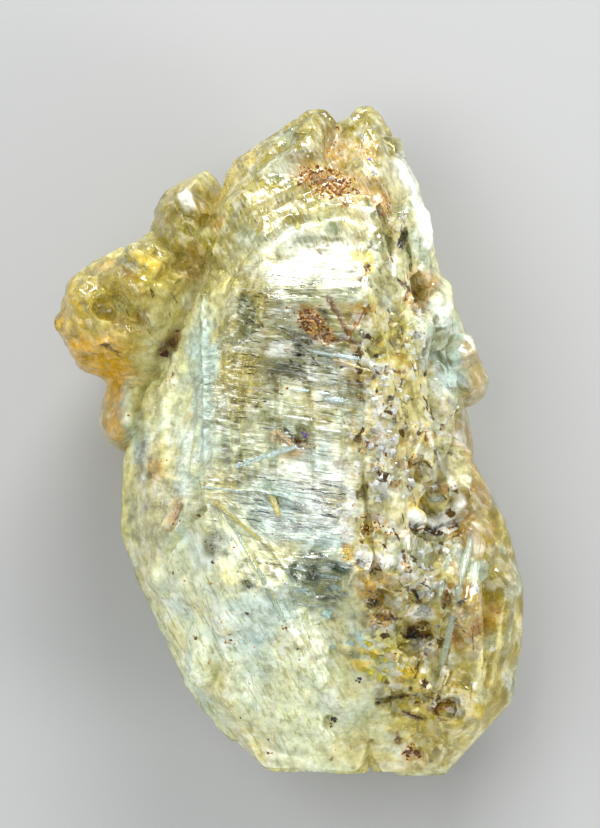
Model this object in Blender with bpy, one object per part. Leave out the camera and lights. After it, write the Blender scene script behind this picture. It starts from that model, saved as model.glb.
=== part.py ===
"""A skeletal quartz crystal, lying on one of its own prism faces.

The crystal is one solid: a doubly terminated six-sided prism, a second individual grown along its
lower right side, small crystals on its flanks, and faces hollowed in steps where the edges grew
faster than the middles. Sizes are millimetres until the last step, which turns the finished mesh
into metres. +Z is up from the surface that the crystal rests on, and +Y runs along its length.
"""

import math
import random

import bmesh
import bpy
from mathutils import Matrix, Vector
from mathutils.bvhtree import BVHTree

METRES_PER_MM = 0.001

# Levels of the two large individuals, in millimetres: widest outline, top face and foot
THICKNESS = 10.6
GIRDLE = THICKNESS / 2
SECOND_GIRDLE, SECOND_TOP, SECOND_FOOT = 4.7, 9.1, 0.35

# Size of the block that shapes are cut from, how deep plates reach in, and how far cutters stand out
BLOCK = 120.0
BURIED = 1.6
CLEAR = 4.0

# How steep a face is, as its normal's angle above the level, in degrees
PRISM = 30.0
SIDE_RHOMB = 23.0
END_RHOMB = 52.0
PIT_WALL = 16.0
LEDGE_WALL = 38.0
LOBE_WALL = (8.0, 26.0)
LOBE_LOW_FACETS = (36.0, 56.0)
LOBE_HIGH_FACETS = (60.0, 84.0)
SMALL_POINT = 40.0
SMALL_POINT_SPREAD = 5.0
PIT_FLOOR_TILT = 26.0

# How much of a lump's flattened ball is left under its facets
FACET_REACH = 0.97

# The long axis leans this far to the right; small crystals beside it stray by a few degrees
AXIS_LEAN = 8.0
LEAN_SPREAD = 4.0
PITCH_SPREAD = 5.0
ROLL_SPREAD = 7.0

# A small crystal's sides differ in distance by up to this share, and every other face of its
# point stands this share of its width further out
UNEVEN_SIDES = 0.22
SMALL_FACE_SHIFT = 0.14

# Narrow relief: the share of its section kept at its ends, and its section's shape
END_TAPER = 0.55
GROOVE_MOUTH = (1.1, 1.2)
RIB_FOOT = (0.65, 0.5)
RIB_CREST = 0.225

# How far around a point the surface is looked at to find its way out, and at how many spots
LOOK_ROUND = 0.4
LOOK_SPOTS = 6

SEED = 7
UP = Vector((0.0, 0.0, 1.0))
STRAW = (0.86, 0.82, 0.66, 1.0)

# Outlines run clockwise seen from above. Each row is a corner and the slope of the edge after it.
MAIN_OUTLINE = [
    (-2.00, 10.10, SIDE_RHOMB),
    (0.70, 11.90, END_RHOMB),
    (2.95, 12.05, 40.0),
    (3.30, 11.70, SIDE_RHOMB),
    (4.75, 9.05, 26.0),
    (5.20, 7.00, 28.0),
    (5.95, 4.00, 26.0),
    (6.45, -0.60, 25.0),
    (6.75, -4.20, 26.0),
    (6.45, -8.85, 24.0),
    (5.40, -11.70, END_RHOMB),
    (2.25, -11.90, END_RHOMB),
    (-0.70, -11.80, SIDE_RHOMB),
    (-2.20, -10.60, 25.0),
    (-3.50, -9.05, 27.0),
    (-5.55, -4.75, PRISM),
    (-6.05, -3.25, PRISM),
    (-5.95, -0.70, PRISM),
    (-4.95, 2.50, PRISM),
]
SECOND_OUTLINE = [
    (3.25, -1.35, 40.0),
    (6.65, -0.60, SIDE_RHOMB),
    (7.80, -2.80, PRISM),
    (8.45, -5.10, PRISM),
    (8.40, -7.05, PRISM),
    (8.05, -9.30, SIDE_RHOMB),
    (5.55, -12.05, END_RHOMB),
    (4.05, -12.05, 45.0),
    (3.10, -11.70, PRISM),
    (1.45, -9.20, PRISM),
    (1.10, -4.20, PRISM),
]

# Lumps of small crystals: outline, girdle, top, bottom and the number of facets above and below
LOBES = {
    "nose": (
        [(-8.45, 4.30), (-8.25, 5.20), (-7.80, 5.95), (-6.95, 6.45), (-5.40, 6.20), (-4.90, 4.60),
         (-5.40, 3.00), (-6.60, 2.60), (-7.65, 2.70)],
        4.3, 7.3, 1.5, 9,
    ),
    "amber_back": (
        [(-7.30, 6.20), (-6.95, 6.45), (-5.05, 7.55), (-3.55, 7.40), (-2.60, 5.60), (-3.60, 3.60),
         (-5.60, 3.40), (-7.00, 4.60)],
        4.9, 8.3, 1.6, 8,
    ),
    "amber_front": (
        [(-7.65, 3.90), (-5.60, 5.20), (-3.40, 4.60), (-3.90, 2.60), (-5.30, 2.10), (-6.45, 2.20),
         (-7.65, 2.60)],
        3.9, 7.5, 1.1, 8,
    ),
    "dome": (
        [(-5.05, 7.50), (-4.95, 8.10), (-4.60, 8.80), (-4.15, 9.25), (-2.95, 9.85), (-2.55, 9.50),
         (-2.20, 8.90), (-1.60, 7.20), (-2.40, 5.30), (-4.40, 5.60)],
        4.2, 7.4, 1.6, 9,
    ),
    "left_bump": (
        [(-6.45, 2.45), (-4.60, 2.40), (-4.60, 0.05), (-5.95, -0.45), (-6.55, -0.05), (-6.90, 0.70),
         (-6.80, 1.40)],
        3.7, 6.0, 1.7, 7,
    ),
    "right_lobe": (
        [(4.60, 6.15), (5.45, 6.05), (5.85, 5.20), (6.45, 4.40), (7.05, 3.40), (7.30, 2.30),
         (7.05, 1.60), (6.50, 1.20), (5.00, 1.50), (4.20, 4.00)],
        4.0, 7.8, 1.4, 9,
    ),
    "right_bump": (
        [(6.10, 1.70), (6.45, 0.75), (6.65, 0.00), (6.65, -0.80), (5.80, -1.40), (5.00, 0.40)],
        3.7, 6.6, 1.6, 6,
    ),
}

# Steps of the hopper sunk in the topmost prism face: outline and depth
HOPPER_STEPS = [
    ([(-2.45, 4.40), (-1.90, 4.85), (1.60, 4.95), (3.05, 4.60), (3.35, 3.60), (3.60, -2.40),
      (3.10, -4.30), (1.20, -4.85), (-1.30, -4.40), (-2.30, -2.80), (-2.60, -0.20),
      (-2.62, 2.60)], 0.24),
    ([(-2.05, 4.10), (-0.60, 4.55), (2.70, 4.10), (2.95, 1.40), (3.05, -2.60), (2.35, -4.00),
      (0.10, -4.20), (-1.45, -3.60), (-2.15, -1.90), (-2.35, 1.90)], 0.46),
    ([(-1.95, 3.75), (0.20, 4.15), (2.15, 3.20), (2.35, 0.60), (2.40, -2.60), (1.70, -3.60),
      (-0.20, -3.70), (-1.35, -3.00), (-1.95, -1.40), (-2.20, 1.80)], 0.66),
    ([(-1.85, 3.20), (-1.20, 3.65), (0.90, 3.40), (1.35, 1.60), (1.55, -1.90), (0.90, -3.05),
      (-0.50, -3.10), (-1.35, -2.20), (-1.75, -0.60), (-2.05, 1.70)], 0.90),
    ([(-1.65, 2.90), (-0.90, 3.20), (0.30, 2.60), (0.45, 0.40), (0.20, -1.80), (-0.60, -2.50),
      (-1.30, -1.60), (-1.80, 1.00)], 1.15),
]
RESTING_HOPPER_STEPS = [
    ([(-1.80, 3.60), (0.60, 4.20), (2.30, 3.60), (2.90, 0.40), (2.60, -3.30), (0.60, -3.90),
      (-1.20, -3.20), (-1.90, 0.20)], 0.30),
    ([(-1.50, 3.00), (0.60, 3.70), (1.70, 2.90), (2.20, 0.20), (2.10, -2.90), (0.60, -3.20),
      (-0.60, -2.70), (-1.45, 0.10)], 0.62),
    ([(-1.05, 2.60), (0.20, 3.10), (1.10, 2.30), (1.40, 0.00), (1.20, -2.00), (0.40, -2.40),
      (-0.50, -1.90), (-1.05, 0.10)], 0.95),
]

# Stepped windows sunk in the upper side's sloping faces: outline and depth
WINDOWS = [
    ([(-1.25, 5.75), (-1.15, 6.95), (-0.10, 7.95), (1.90, 8.40), (3.35, 7.95), (3.45, 6.50),
      (3.00, 5.60), (0.80, 5.90)], 0.28),
    ([(-0.60, 6.15), (-0.55, 6.80), (0.20, 7.45), (1.85, 7.85), (2.75, 7.50), (2.80, 6.60),
      (2.40, 6.10), (0.90, 6.30)], 0.55),
    ([(-0.60, -5.50), (1.90, -5.45), (2.60, -6.20), (2.40, -8.60), (1.50, -9.20),
      (0.50, -7.60)], 0.26),
    ([(0.10, -5.70), (1.80, -5.60), (2.10, -6.40), (1.95, -7.90), (1.40, -8.20),
      (0.70, -7.00)], 0.50),
    ([(-2.60, -6.90), (-1.60, -6.40), (-0.60, -8.20), (-0.30, -9.60), (-1.40, -9.40)], 0.20),
    ([(4.55, -5.60), (5.70, -5.10), (6.10, -6.30), (6.05, -8.40), (5.20, -9.00),
      (4.70, -8.00)], 0.75),
    ([(6.85, -4.30), (7.60, -4.90), (7.60, -7.90), (6.95, -8.40)], 0.45),
    ([(-4.45, 1.60), (-3.60, 3.60), (-3.30, 1.20), (-3.60, -1.60), (-4.60, -1.20)], 0.22),
    ([(-4.30, -6.00), (-3.30, -5.60), (-2.10, -8.20), (-2.60, -8.80)], 0.24),
]
UNDER_WINDOWS = [
    ([(0.00, 6.60), (1.20, 8.60), (3.20, 7.90), (3.00, 6.00)], 0.45),
    ([(-0.60, -6.70), (0.20, -9.00), (2.60, -9.20), (2.80, -6.80)], 0.45),
    ([(-4.70, 1.20), (-3.80, 2.60), (-3.60, -1.90), (-4.80, -2.00)], 0.35),
    ([(4.70, 2.60), (5.40, 1.20), (5.60, -0.20), (4.80, -0.40)], 0.35),
]

# Plates of later growth that stand on the upper side: outline and height
PLATES = [
    ([(-2.00, 8.60), (-0.60, 10.20), (1.20, 10.90), (1.60, 9.30), (0.20, 8.60),
      (-1.30, 7.70)], 0.34),
    ([(-0.90, 9.60), (0.40, 10.90), (1.25, 11.15), (1.35, 9.90), (0.30, 9.50)], 0.62),
    ([(2.20, 9.10), (2.30, 11.20), (3.10, 11.20), (3.70, 9.90), (3.40, 8.80)], 0.40),
    ([(3.95, 5.60), (4.00, 7.70), (4.45, 8.10), (4.85, 6.90), (5.00, 5.60)], 0.34),
    ([(-1.60, -9.90), (-1.10, -9.20), (1.50, -9.90), (1.70, -11.20), (-0.50, -11.10)], 0.26),
    ([(2.60, -9.60), (3.50, -9.00), (4.70, -9.50), (4.70, -11.10), (2.70, -11.20)], 0.24),
    ([(2.60, 1.80), (3.15, 2.10), (3.50, 0.60), (3.55, -1.40), (3.00, -2.20), (2.50, -0.40)], 0.20),
    ([(-4.90, -3.40), (-4.30, -2.60), (-3.60, -3.60), (-3.70, -5.20), (-4.50, -5.40)], 0.24),
]
UNDER_PLATES = [
    ([(0.40, 9.40), (1.00, 11.00), (2.90, 10.90), (3.30, 9.50)], 0.30),
    ([(-0.90, -9.80), (-0.20, -11.00), (3.40, -11.10), (3.00, -9.90)], 0.30),
]

# Notches that run through the whole edge: outline, each seen from above
NOTCHES = [
    [(0.75, 12.60), (2.95, 12.60), (2.10, 11.60), (1.70, 11.40)],
    [(2.45, -12.60), (3.25, -12.60), (2.95, -11.55)],
]

# Rough pits: middle, half width, depth and number of sides
PITS = [
    ((5.20, -2.35), 0.95, 1.05, 9),
    ((4.65, -1.05), 0.50, 0.70, 7),
    ((4.80, -6.95), 0.75, 1.20, 7),
    ((3.35, -5.75), 0.60, 0.90, 6),
    ((4.25, -7.20), 0.55, 0.85, 7),
    ((3.90, -9.25), 0.45, 0.60, 6),
    ((4.55, -10.75), 0.42, 0.50, 6),
    ((1.45, -10.00), 0.30, 0.45, 6),
    ((5.45, -9.45), 0.50, 0.80, 6),
    ((4.50, 5.30), 0.60, 0.80, 7),
    ((3.10, 3.30), 0.55, 0.70, 5),
    ((0.45, 0.20), 0.42, 0.50, 6),
    ((1.30, -4.90), 0.80, 0.80, 7),
    ((-4.65, 2.60), 0.35, 0.55, 6),
    ((-3.70, -1.60), 0.60, 0.40, 7),
    ((-6.55, 4.75), 0.45, 0.45, 6),
    ((-3.75, 6.45), 0.40, 0.40, 5),
]
UNDER_PITS = [
    ((-5.00, -3.60), 0.60, 0.55, 6),
    ((4.70, -3.00), 0.70, 0.60, 7),
    ((5.90, -8.60), 0.55, 0.50, 6),
    ((-2.60, 6.60), 0.60, 0.60, 6),
    ((3.60, 6.60), 0.50, 0.45, 5),
    ((-5.80, 4.20), 0.50, 0.45, 6),
]

# Cracks and re-entrant notches: points along it, width and depth
GROOVES = [
    ([(1.92, 11.90), (1.82, 11.30), (1.62, 10.40), (1.70, 9.70)], 0.90, 0.62),
    ([(3.20, 8.40), (3.70, 7.00), (3.90, 6.10)], 0.46, 0.55),
    ([(2.92, -11.80), (2.82, -11.30), (2.95, -10.60)], 0.50, 0.50),
    ([(-3.70, 4.20), (-4.30, 3.30), (-4.75, 2.45), (-5.60, 1.95)], 0.42, 0.75),
    ([(4.10, 7.60), (4.22, 6.60), (4.30, 6.00)], 0.26, 0.55),
    ([(4.30, -3.10), (4.95, -3.40), (5.70, -3.20)], 0.30, 0.80),
    ([(3.10, -9.35), (3.90, -8.95), (4.80, -9.20)], 0.34, 0.60),
    ([(-4.30, -4.00), (-3.60, -2.80), (-2.90, -2.30)], 0.34, 0.35),
    ([(2.60, -1.00), (2.75, -3.20), (3.10, -4.80)], 0.36, 0.45),
]
UNDER_GROOVES = [
    ([(-3.60, -5.20), (-2.90, -6.60), (-1.90, -7.90)], 0.40, 0.45),
    ([(3.30, 5.60), (3.60, 4.20), (4.00, 2.90)], 0.36, 0.40),
]

# Narrow raised rods and growth ribs: points along it, width and height
RIBS = [
    ([(6.55, -4.20), (6.20, -5.60), (5.80, -7.20), (5.40, -8.90)], 0.46, 0.42),
    ([(3.95, 6.90), (4.05, 5.20), (4.12, 3.60), (4.35, 2.00), (4.60, 0.60)], 0.40, 0.30),
    ([(5.45, -3.90), (5.60, -5.20), (5.35, -6.80)], 0.36, 0.28),
    ([(-2.75, -2.10), (-1.90, -2.70), (-1.00, -3.30), (0.00, -4.50), (0.40, -5.60)], 0.30, 0.20),
    ([(-2.60, -1.75), (-1.50, -1.65), (-0.20, -1.85), (0.80, -2.40)], 0.26, 0.16),
    ([(-3.05, -2.30), (-3.70, -3.20), (-4.30, -4.50)], 0.32, 0.20),
    ([(-1.25, 5.15), (0.20, 5.35), (1.80, 5.35), (3.60, 4.80)], 0.34, 0.18),
    ([(-3.00, 5.60), (-3.00, 3.80), (-2.95, 2.00), (-2.90, 0.20), (-2.85, -1.60)], 0.34, 0.14),
]
UNDER_RIBS = [
    ([(-5.00, -0.60), (-4.40, -0.70), (-3.90, -0.80)], 0.50, 0.20),
    ([(4.50, 0.90), (5.10, 0.80), (5.60, 0.70)], 0.50, 0.20),
    ([(-1.40, 6.30), (-0.60, 7.60), (0.20, 9.00)], 0.40, 0.24),
    ([(3.60, -6.20), (4.20, -7.60), (4.70, -9.00)], 0.44, 0.26),
]

# Small crystals grown side by side with the main one: middle of the root, length and width.
# They run nearly along its long axis, and most of their width is sunk in its flanks.
PARALLEL_CRYSTALS = [
    ((2.75, 10.00, 5.60), 3.60, 1.70),
    ((0.75, 10.10, 5.90), 3.60, 1.80),
    ((-1.75, 9.00, 5.30), 2.40, 1.20),
    ((4.10, 6.60, 7.20), 4.40, 1.70),
    ((5.00, 4.60, 6.90), 3.20, 1.50),
    ((4.25, 2.70, 8.60), 4.80, 1.30),
    ((4.90, 0.90, 7.60), 4.20, 1.80),
    ((5.50, -1.50, 6.90), 3.80, 1.90),
    ((6.50, -3.80, 6.90), 2.90, 1.50),
    ((7.20, -6.20, 5.90), 4.40, 1.50),
    ((6.00, -9.40, 6.80), 3.20, 1.90),
    ((-4.30, -4.00, 7.10), 3.40, 1.30),
    ((-3.00, -7.10, 7.20), 3.60, 1.20),
    ((-4.60, -1.90, 3.60), 4.20, 1.70),
    ((-3.15, -4.90, 3.50), 4.60, 1.90),
    ((-3.10, 4.60, 3.10), 5.20, 1.60),
    ((5.30, 3.60, 2.90), 3.60, 1.50),
    ((5.40, -0.40, 3.10), 4.80, 1.90),
    ((6.60, -7.60, 2.60), 4.60, 1.90),
    ((1.80, 9.00, 3.40), 3.40, 1.70),
    ((1.15, -9.30, 3.25), 2.80, 1.70),
]

# Crystals that stand on the lumps: tip, root and width
STANDING_CRYSTALS = [
    ((-7.60, 5.35, 6.9), (-6.30, 4.90, 5.2), 1.30),
    ((-5.70, 6.75, 8.2), (-5.10, 5.60, 6.2), 1.40),
    ((-6.70, 3.30, 7.2), (-5.80, 3.90, 5.6), 1.30),
    ((-3.80, 8.80, 7.4), (-3.30, 7.60, 5.8), 1.50),
    ((6.70, 3.20, 7.0), (5.40, 3.20, 5.4), 1.30),
    ((-6.10, 4.90, 1.5), (-5.20, 4.80, 3.4), 1.40),
    ((6.20, 2.90, 1.7), (5.20, 3.20, 3.4), 1.30),
]

rng = random.Random(SEED)


def clear_scene():
    for thing in list(bpy.data.objects):
        bpy.data.objects.remove(thing)


def tilted(side, outward, degrees):
    """The normal of a wall that faces sideways and leans back towards the way out."""
    slope = math.radians(degrees)
    return side * math.cos(slope) + outward * math.sin(slope)


def plan_face(level, outward=UP):
    return Vector((0.0, 0.0, level)), outward


def on_face(face, x, y):
    """The point of a face that is seen at x, y from above."""
    point, outward = face
    drop = outward.x * (x - point.x) + outward.y * (y - point.y)
    return Vector((x, y, point.z - drop / outward.z))


def sides(outline, face):
    """Each edge of an outline on a face, as its start, its end and its way out in the face."""
    corners = [on_face(face, row[0], row[1]) for row in outline]
    middle = sum(corners, Vector()) / len(corners)
    for start, end in zip(corners, corners[1:] + corners[:1]):
        side = (end - start).cross(face[1]).normalized()
        if side.dot(start - middle) < 0:
            side.negate()
        yield start, end, side


def block_within(planes):
    """What is left of a large block inside every plane, each given as a point and its way out."""
    block = bmesh.new()
    bmesh.ops.create_cube(block, size=BLOCK)
    for point, outward in planes:
        everything = block.verts[:] + block.edges[:] + block.faces[:]
        cut = bmesh.ops.bisect_plane(
            block, geom=everything, dist=1e-5, plane_co=point, plane_no=outward, clear_outer=True
        )
        rim = [
            item for item in cut["geom_cut"]
            if isinstance(item, bmesh.types.BMEdge) and item.is_boundary
        ]
        if rim:
            bmesh.ops.edgeloop_fill(block, edges=rim)
    bmesh.ops.recalc_face_normals(block, faces=block.faces[:])
    return block


def body_of(name, planes):
    block = block_within(planes)
    mesh = bpy.data.meshes.new(name)
    block.to_mesh(mesh)
    block.free()
    body = bpy.data.objects.new(name, mesh)
    bpy.context.collection.objects.link(body)
    return body


def combine(body, tool, operation):
    """Joins a tool to a body, or cuts it out, and removes the tool."""
    join = body.modifiers.new(operation, "BOOLEAN")
    join.operation = operation
    join.solver = "EXACT"
    join.use_hole_tolerant = True
    join.object = tool
    bpy.context.view_layer.update()
    graph = bpy.context.evaluated_depsgraph_get()
    result = bpy.data.meshes.new_from_object(body.evaluated_get(graph))
    body.modifiers.clear()
    body.data = result
    bpy.data.objects.remove(tool)


def individual(name, outline, girdle, top, foot):
    """A crystal lying on its side, with sloping faces above and below its outline."""
    planes = [(Vector((0, 0, top)), UP), (Vector((0, 0, foot)), -UP)]
    for outward in (UP, -UP):
        for row, (start, _end, side) in zip(outline, sides(outline, plan_face(girdle, outward))):
            planes.append((start, tilted(side, outward, row[2])))
    return body_of(name, planes)


def lobe(name, outline, girdle, top, bottom, facets):
    """A lump with its outline's sides and scattered flat facets, tangent to a flattened ball."""
    corners = [Vector(corner) for corner in outline]
    low = Vector((min(corner.x for corner in corners), min(corner.y for corner in corners)))
    high = Vector((max(corner.x for corner in corners), max(corner.y for corner in corners)))
    middle = Vector(((low.x + high.x) / 2, (low.y + high.y) / 2, girdle))
    planes = []
    for outward, reach in ((UP, top - girdle), (-UP, girdle - bottom)):
        for start, _end, side in sides(outline, plan_face(girdle, outward)):
            planes.append((start, tilted(side, outward, rng.uniform(*LOBE_WALL))))
        ball = Vector(((high.x - low.x) / 2, (high.y - low.y) / 2, reach))
        first = rng.uniform(0.0, math.tau)
        for index in range(facets):
            turn = first + math.tau * (index + rng.uniform(-0.3, 0.3)) / facets * 2.0
            steepness = LOBE_LOW_FACETS if index < facets / 2 else LOBE_HIGH_FACETS
            side = Vector((math.cos(turn), math.sin(turn), 0.0))
            normal = tilted(side, outward, rng.uniform(*steepness))
            spread = Vector((ball.x * normal.x, ball.y * normal.y, ball.z * normal.z)).length
            planes.append((middle + normal * spread * FACET_REACH, normal))
        planes.append((middle + outward * reach, outward))
    return body_of(name, planes)


def terrace(outline, face, height, lean=LEDGE_WALL):
    """A plate that stands on a face, with walls that lean in."""
    point, outward = face
    planes = [(point + outward * height, outward), (point - outward * BURIED, -outward)]
    planes += [(start, tilted(side, outward, lean)) for start, _end, side in sides(outline, face)]
    return body_of("terrace", planes)


def hollow(outline, face, depth, lean=PIT_WALL, floor_tilt=0.0):
    """A cutter for a flat-floored hollow in a face, wider at its mouth."""
    point, outward = face
    middle = sum((on_face(face, row[0], row[1]) for row in outline), Vector()) / len(outline)
    floor = outward.copy()
    floor.rotate(Matrix.Rotation(math.radians(floor_tilt), 3, "Y"))
    planes = [(point + outward * CLEAR, outward), (middle - outward * depth, -floor)]
    planes += [(start, tilted(side, -outward, lean)) for start, _end, side in sides(outline, face)]
    return body_of("hollow", planes)


def through_cut(outline):
    """A cutter with upright walls, longer than the crystal is thick."""
    planes = [(UP * BLOCK / 4, UP), (-UP * BLOCK / 4, -UP)]
    planes += [(start, side) for start, _end, side in sides(outline, plan_face(GIRDLE))]
    return body_of("through_cut", planes)


def ragged_ring(middle, half_width, count):
    """A convex outline of uneven corners around a point."""
    first = rng.uniform(0.0, math.tau)
    ring = []
    for index in range(count):
        turn = first + math.tau * (index + rng.uniform(-0.25, 0.25)) / count
        reach = half_width * rng.uniform(0.85, 1.2)
        ring.append((middle[0] + reach * math.cos(turn), middle[1] + reach * math.sin(turn)))
    return ring


def skin_of(body):
    """The body's surface, ready to be asked what lies below a point."""
    shape = bmesh.new()
    shape.from_mesh(body.data)
    skin = BVHTree.FromBMesh(shape)
    shape.free()
    return skin


def seen_face(skin, x, y, outward=UP):
    """The surface at x, y seen from above or below: its level there and its average way out."""
    level = 0.0
    average = Vector()
    for index in range(LOOK_SPOTS + 1):
        turn = math.tau * index / LOOK_SPOTS
        step = LOOK_ROUND if index < LOOK_SPOTS else 0.0
        spot = Vector((x + step * math.cos(turn), y + step * math.sin(turn), 0.0)) + outward * BLOCK
        point, normal, _index, _distance = skin.ray_cast(spot, -outward)
        if point is not None:
            average += normal
            level = point.z
    return Vector((x, y, level)), average.normalized()


def face_under(skin, outline, outward=UP):
    """The surface under the middle of an outline."""
    x = sum(corner[0] for corner in outline) / len(outline)
    y = sum(corner[1] for corner in outline) / len(outline)
    return seen_face(skin, x, y, outward)


def swept(name, spine, profile):
    """A profile of (sideways, outwards) pairs carried along points that each have a way out."""
    shape = bmesh.new()
    rings = []
    last = len(spine) - 1
    for index, (point, outward) in enumerate(spine):
        along = (spine[min(index + 1, last)][0] - spine[max(index - 1, 0)][0]).normalized()
        side = along.cross(outward).normalized()
        lift = side.cross(along).normalized()
        taper = END_TAPER if index in (0, last) else 1.0
        ring = []
        for across, out in profile:
            ring.append(shape.verts.new(point + (side * across + lift * out) * taper))
        rings.append(ring)
    for ring, following in zip(rings, rings[1:]):
        for corner in range(len(profile)):
            after = (corner + 1) % len(profile)
            shape.faces.new((ring[corner], ring[after], following[after], following[corner]))
    shape.faces.new(rings[0])
    shape.faces.new(rings[-1])
    bmesh.ops.triangulate(shape, faces=shape.faces[:])
    bmesh.ops.recalc_face_normals(shape, faces=shape.faces[:])
    mesh = bpy.data.meshes.new(name)
    shape.to_mesh(mesh)
    shape.free()
    body = bpy.data.objects.new(name, mesh)
    bpy.context.collection.objects.link(body)
    return body


def groove(skin, points, width, depth, outward):
    """A cutter for a V-shaped groove along points of the surface."""
    spine = [seen_face(skin, x, y, outward) for x, y in points]
    across, above = width * GROOVE_MOUTH[0], depth * GROOVE_MOUTH[1]
    return swept("groove", spine, [(0.0, -depth), (across, above), (-across, above)])


def rib(skin, points, width, height, outward):
    """A raised rib with sloping sides and a narrow flat top."""
    spine = [seen_face(skin, x, y, outward) for x, y in points]
    foot, below = width * RIB_FOOT[0], -RIB_FOOT[1]
    crest = width * RIB_CREST
    profile = [(-foot, below), (foot, below), (crest, height), (-crest, height)]
    return swept("rib", spine, profile)


def small_crystal(tip, root, width, turn, ends=1):
    """A six-sided prism with a point at one end or both: three large faces and three small."""
    tip, root = Vector(tip), Vector(root)
    axis = (tip - root).normalized()
    across = axis.orthogonal().normalized()
    planes = []
    if ends == 1:
        planes.append((root, -axis))
    for index in range(6):
        side = across.copy()
        side.rotate(Matrix.Rotation(turn + index * math.tau / 6, 3, axis))
        squash = 1.0 + UNEVEN_SIDES * math.cos(turn * 3 + index * 2.1)
        rise = SMALL_POINT + SMALL_POINT_SPREAD * math.sin(index * 2.4 + turn)
        further = axis * width * SMALL_FACE_SHIFT * (index % 2)
        planes.append((root + side * width / 2 * squash, side))
        planes.append((tip + further, tilted(side, axis, rise)))
        if ends == 2:
            planes.append((root - further, tilted(side, -axis, rise)))
    return body_of("small_crystal", planes)


def parallel_crystal(middle, length, width):
    """A crystal with two points whose axis runs along the main crystal's, a degree or two off."""
    lean = math.radians(AXIS_LEAN + rng.uniform(-LEAN_SPREAD, LEAN_SPREAD))
    pitch = math.radians(rng.uniform(-PITCH_SPREAD, PITCH_SPREAD))
    roll = math.radians(rng.uniform(-ROLL_SPREAD, ROLL_SPREAD))
    axis = Vector((math.sin(lean), math.cos(lean), math.tan(pitch))).normalized()
    middle = Vector(middle)
    tip = middle + axis * length / 2
    root = middle - axis * length / 2
    return small_crystal(tip, root, width, roll, 2)


def build_crystal():
    crystal = individual("quartz_crystal", MAIN_OUTLINE, GIRDLE, THICKNESS, 0.0)
    second = individual("second", SECOND_OUTLINE, SECOND_GIRDLE, SECOND_TOP, SECOND_FOOT)
    combine(crystal, second, "UNION")
    for outward, windows in ((UP, WINDOWS), (-UP, UNDER_WINDOWS)):
        for outline, depth in windows:
            face = face_under(skin_of(crystal), outline, outward)
            combine(crystal, hollow(outline, face, depth, LEDGE_WALL), "DIFFERENCE")
    hoppers = ((plan_face(THICKNESS), HOPPER_STEPS), (plan_face(0.0, -UP), RESTING_HOPPER_STEPS))
    for face, steps in hoppers:
        for outline, depth in steps:
            combine(crystal, hollow(outline, face, depth, LEDGE_WALL), "DIFFERENCE")
    for name, shape in LOBES.items():
        combine(crystal, lobe(name, *shape), "UNION")
    for outward, plates in ((UP, PLATES), (-UP, UNDER_PLATES)):
        for outline, height in plates:
            face = face_under(skin_of(crystal), outline, outward)
            combine(crystal, terrace(outline, face, height), "UNION")
    for middle, length, width in PARALLEL_CRYSTALS:
        combine(crystal, parallel_crystal(middle, length, width), "UNION")
    for tip, root, width in STANDING_CRYSTALS:
        combine(crystal, small_crystal(tip, root, width, rng.uniform(0.0, math.tau)), "UNION")
    for outline in NOTCHES:
        combine(crystal, through_cut(outline), "DIFFERENCE")
    for outward, pits in ((UP, PITS), (-UP, UNDER_PITS)):
        for middle, half_width, depth, count in pits:
            ring = ragged_ring(middle, half_width, count)
            face = seen_face(skin_of(crystal), *middle, outward)
            floor_tilt = rng.uniform(-PIT_FLOOR_TILT, PIT_FLOOR_TILT)
            combine(crystal, hollow(ring, face, depth, PIT_WALL, floor_tilt), "DIFFERENCE")
    for outward, ribs in ((UP, RIBS), (-UP, UNDER_RIBS)):
        for points, width, height in ribs:
            combine(crystal, rib(skin_of(crystal), points, width, height, outward), "UNION")
    for outward, grooves in ((UP, GROOVES), (-UP, UNDER_GROOVES)):
        for points, width, depth in grooves:
            cutter = groove(skin_of(crystal), points, width, depth, outward)
            combine(crystal, cutter, "DIFFERENCE")
    return crystal


def quartz_material():
    material = bpy.data.materials.new("quartz")
    material.use_nodes = True
    shader = material.node_tree.nodes["Principled BSDF"]
    shader.inputs["Base Color"].default_value = STRAW
    shader.inputs["Roughness"].default_value = 0.18
    shader.inputs["Metallic"].default_value = 0.0
    shader.inputs["IOR"].default_value = 1.544
    shader.inputs["Transmission Weight"].default_value = 0.7
    return material


def main():
    clear_scene()
    crystal = build_crystal()
    crystal.data.transform(Matrix.Scale(METRES_PER_MM, 4))
    crystal.data.materials.clear()
    crystal.data.materials.append(quartz_material())


if __name__ == "__main__":
    main()
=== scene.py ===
import math
import random

import bmesh
import bpy
import numpy as np
from mathutils import Matrix, Vector
from mathutils.bvhtree import BVHTree


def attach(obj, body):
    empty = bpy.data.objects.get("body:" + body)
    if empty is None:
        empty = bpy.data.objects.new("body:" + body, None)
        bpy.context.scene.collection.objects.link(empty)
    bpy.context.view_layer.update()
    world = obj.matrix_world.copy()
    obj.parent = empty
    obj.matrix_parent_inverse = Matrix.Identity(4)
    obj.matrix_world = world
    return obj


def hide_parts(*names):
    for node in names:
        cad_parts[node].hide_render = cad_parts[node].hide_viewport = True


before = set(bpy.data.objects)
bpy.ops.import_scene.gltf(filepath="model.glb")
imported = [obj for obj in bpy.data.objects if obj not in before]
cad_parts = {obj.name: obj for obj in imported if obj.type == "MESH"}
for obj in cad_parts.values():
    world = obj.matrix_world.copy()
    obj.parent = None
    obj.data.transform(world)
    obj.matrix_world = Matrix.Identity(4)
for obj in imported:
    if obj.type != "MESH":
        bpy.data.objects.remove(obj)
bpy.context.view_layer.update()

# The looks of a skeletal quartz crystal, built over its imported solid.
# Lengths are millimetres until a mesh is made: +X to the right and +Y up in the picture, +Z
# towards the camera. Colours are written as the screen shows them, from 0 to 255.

MM = 0.001

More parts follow.
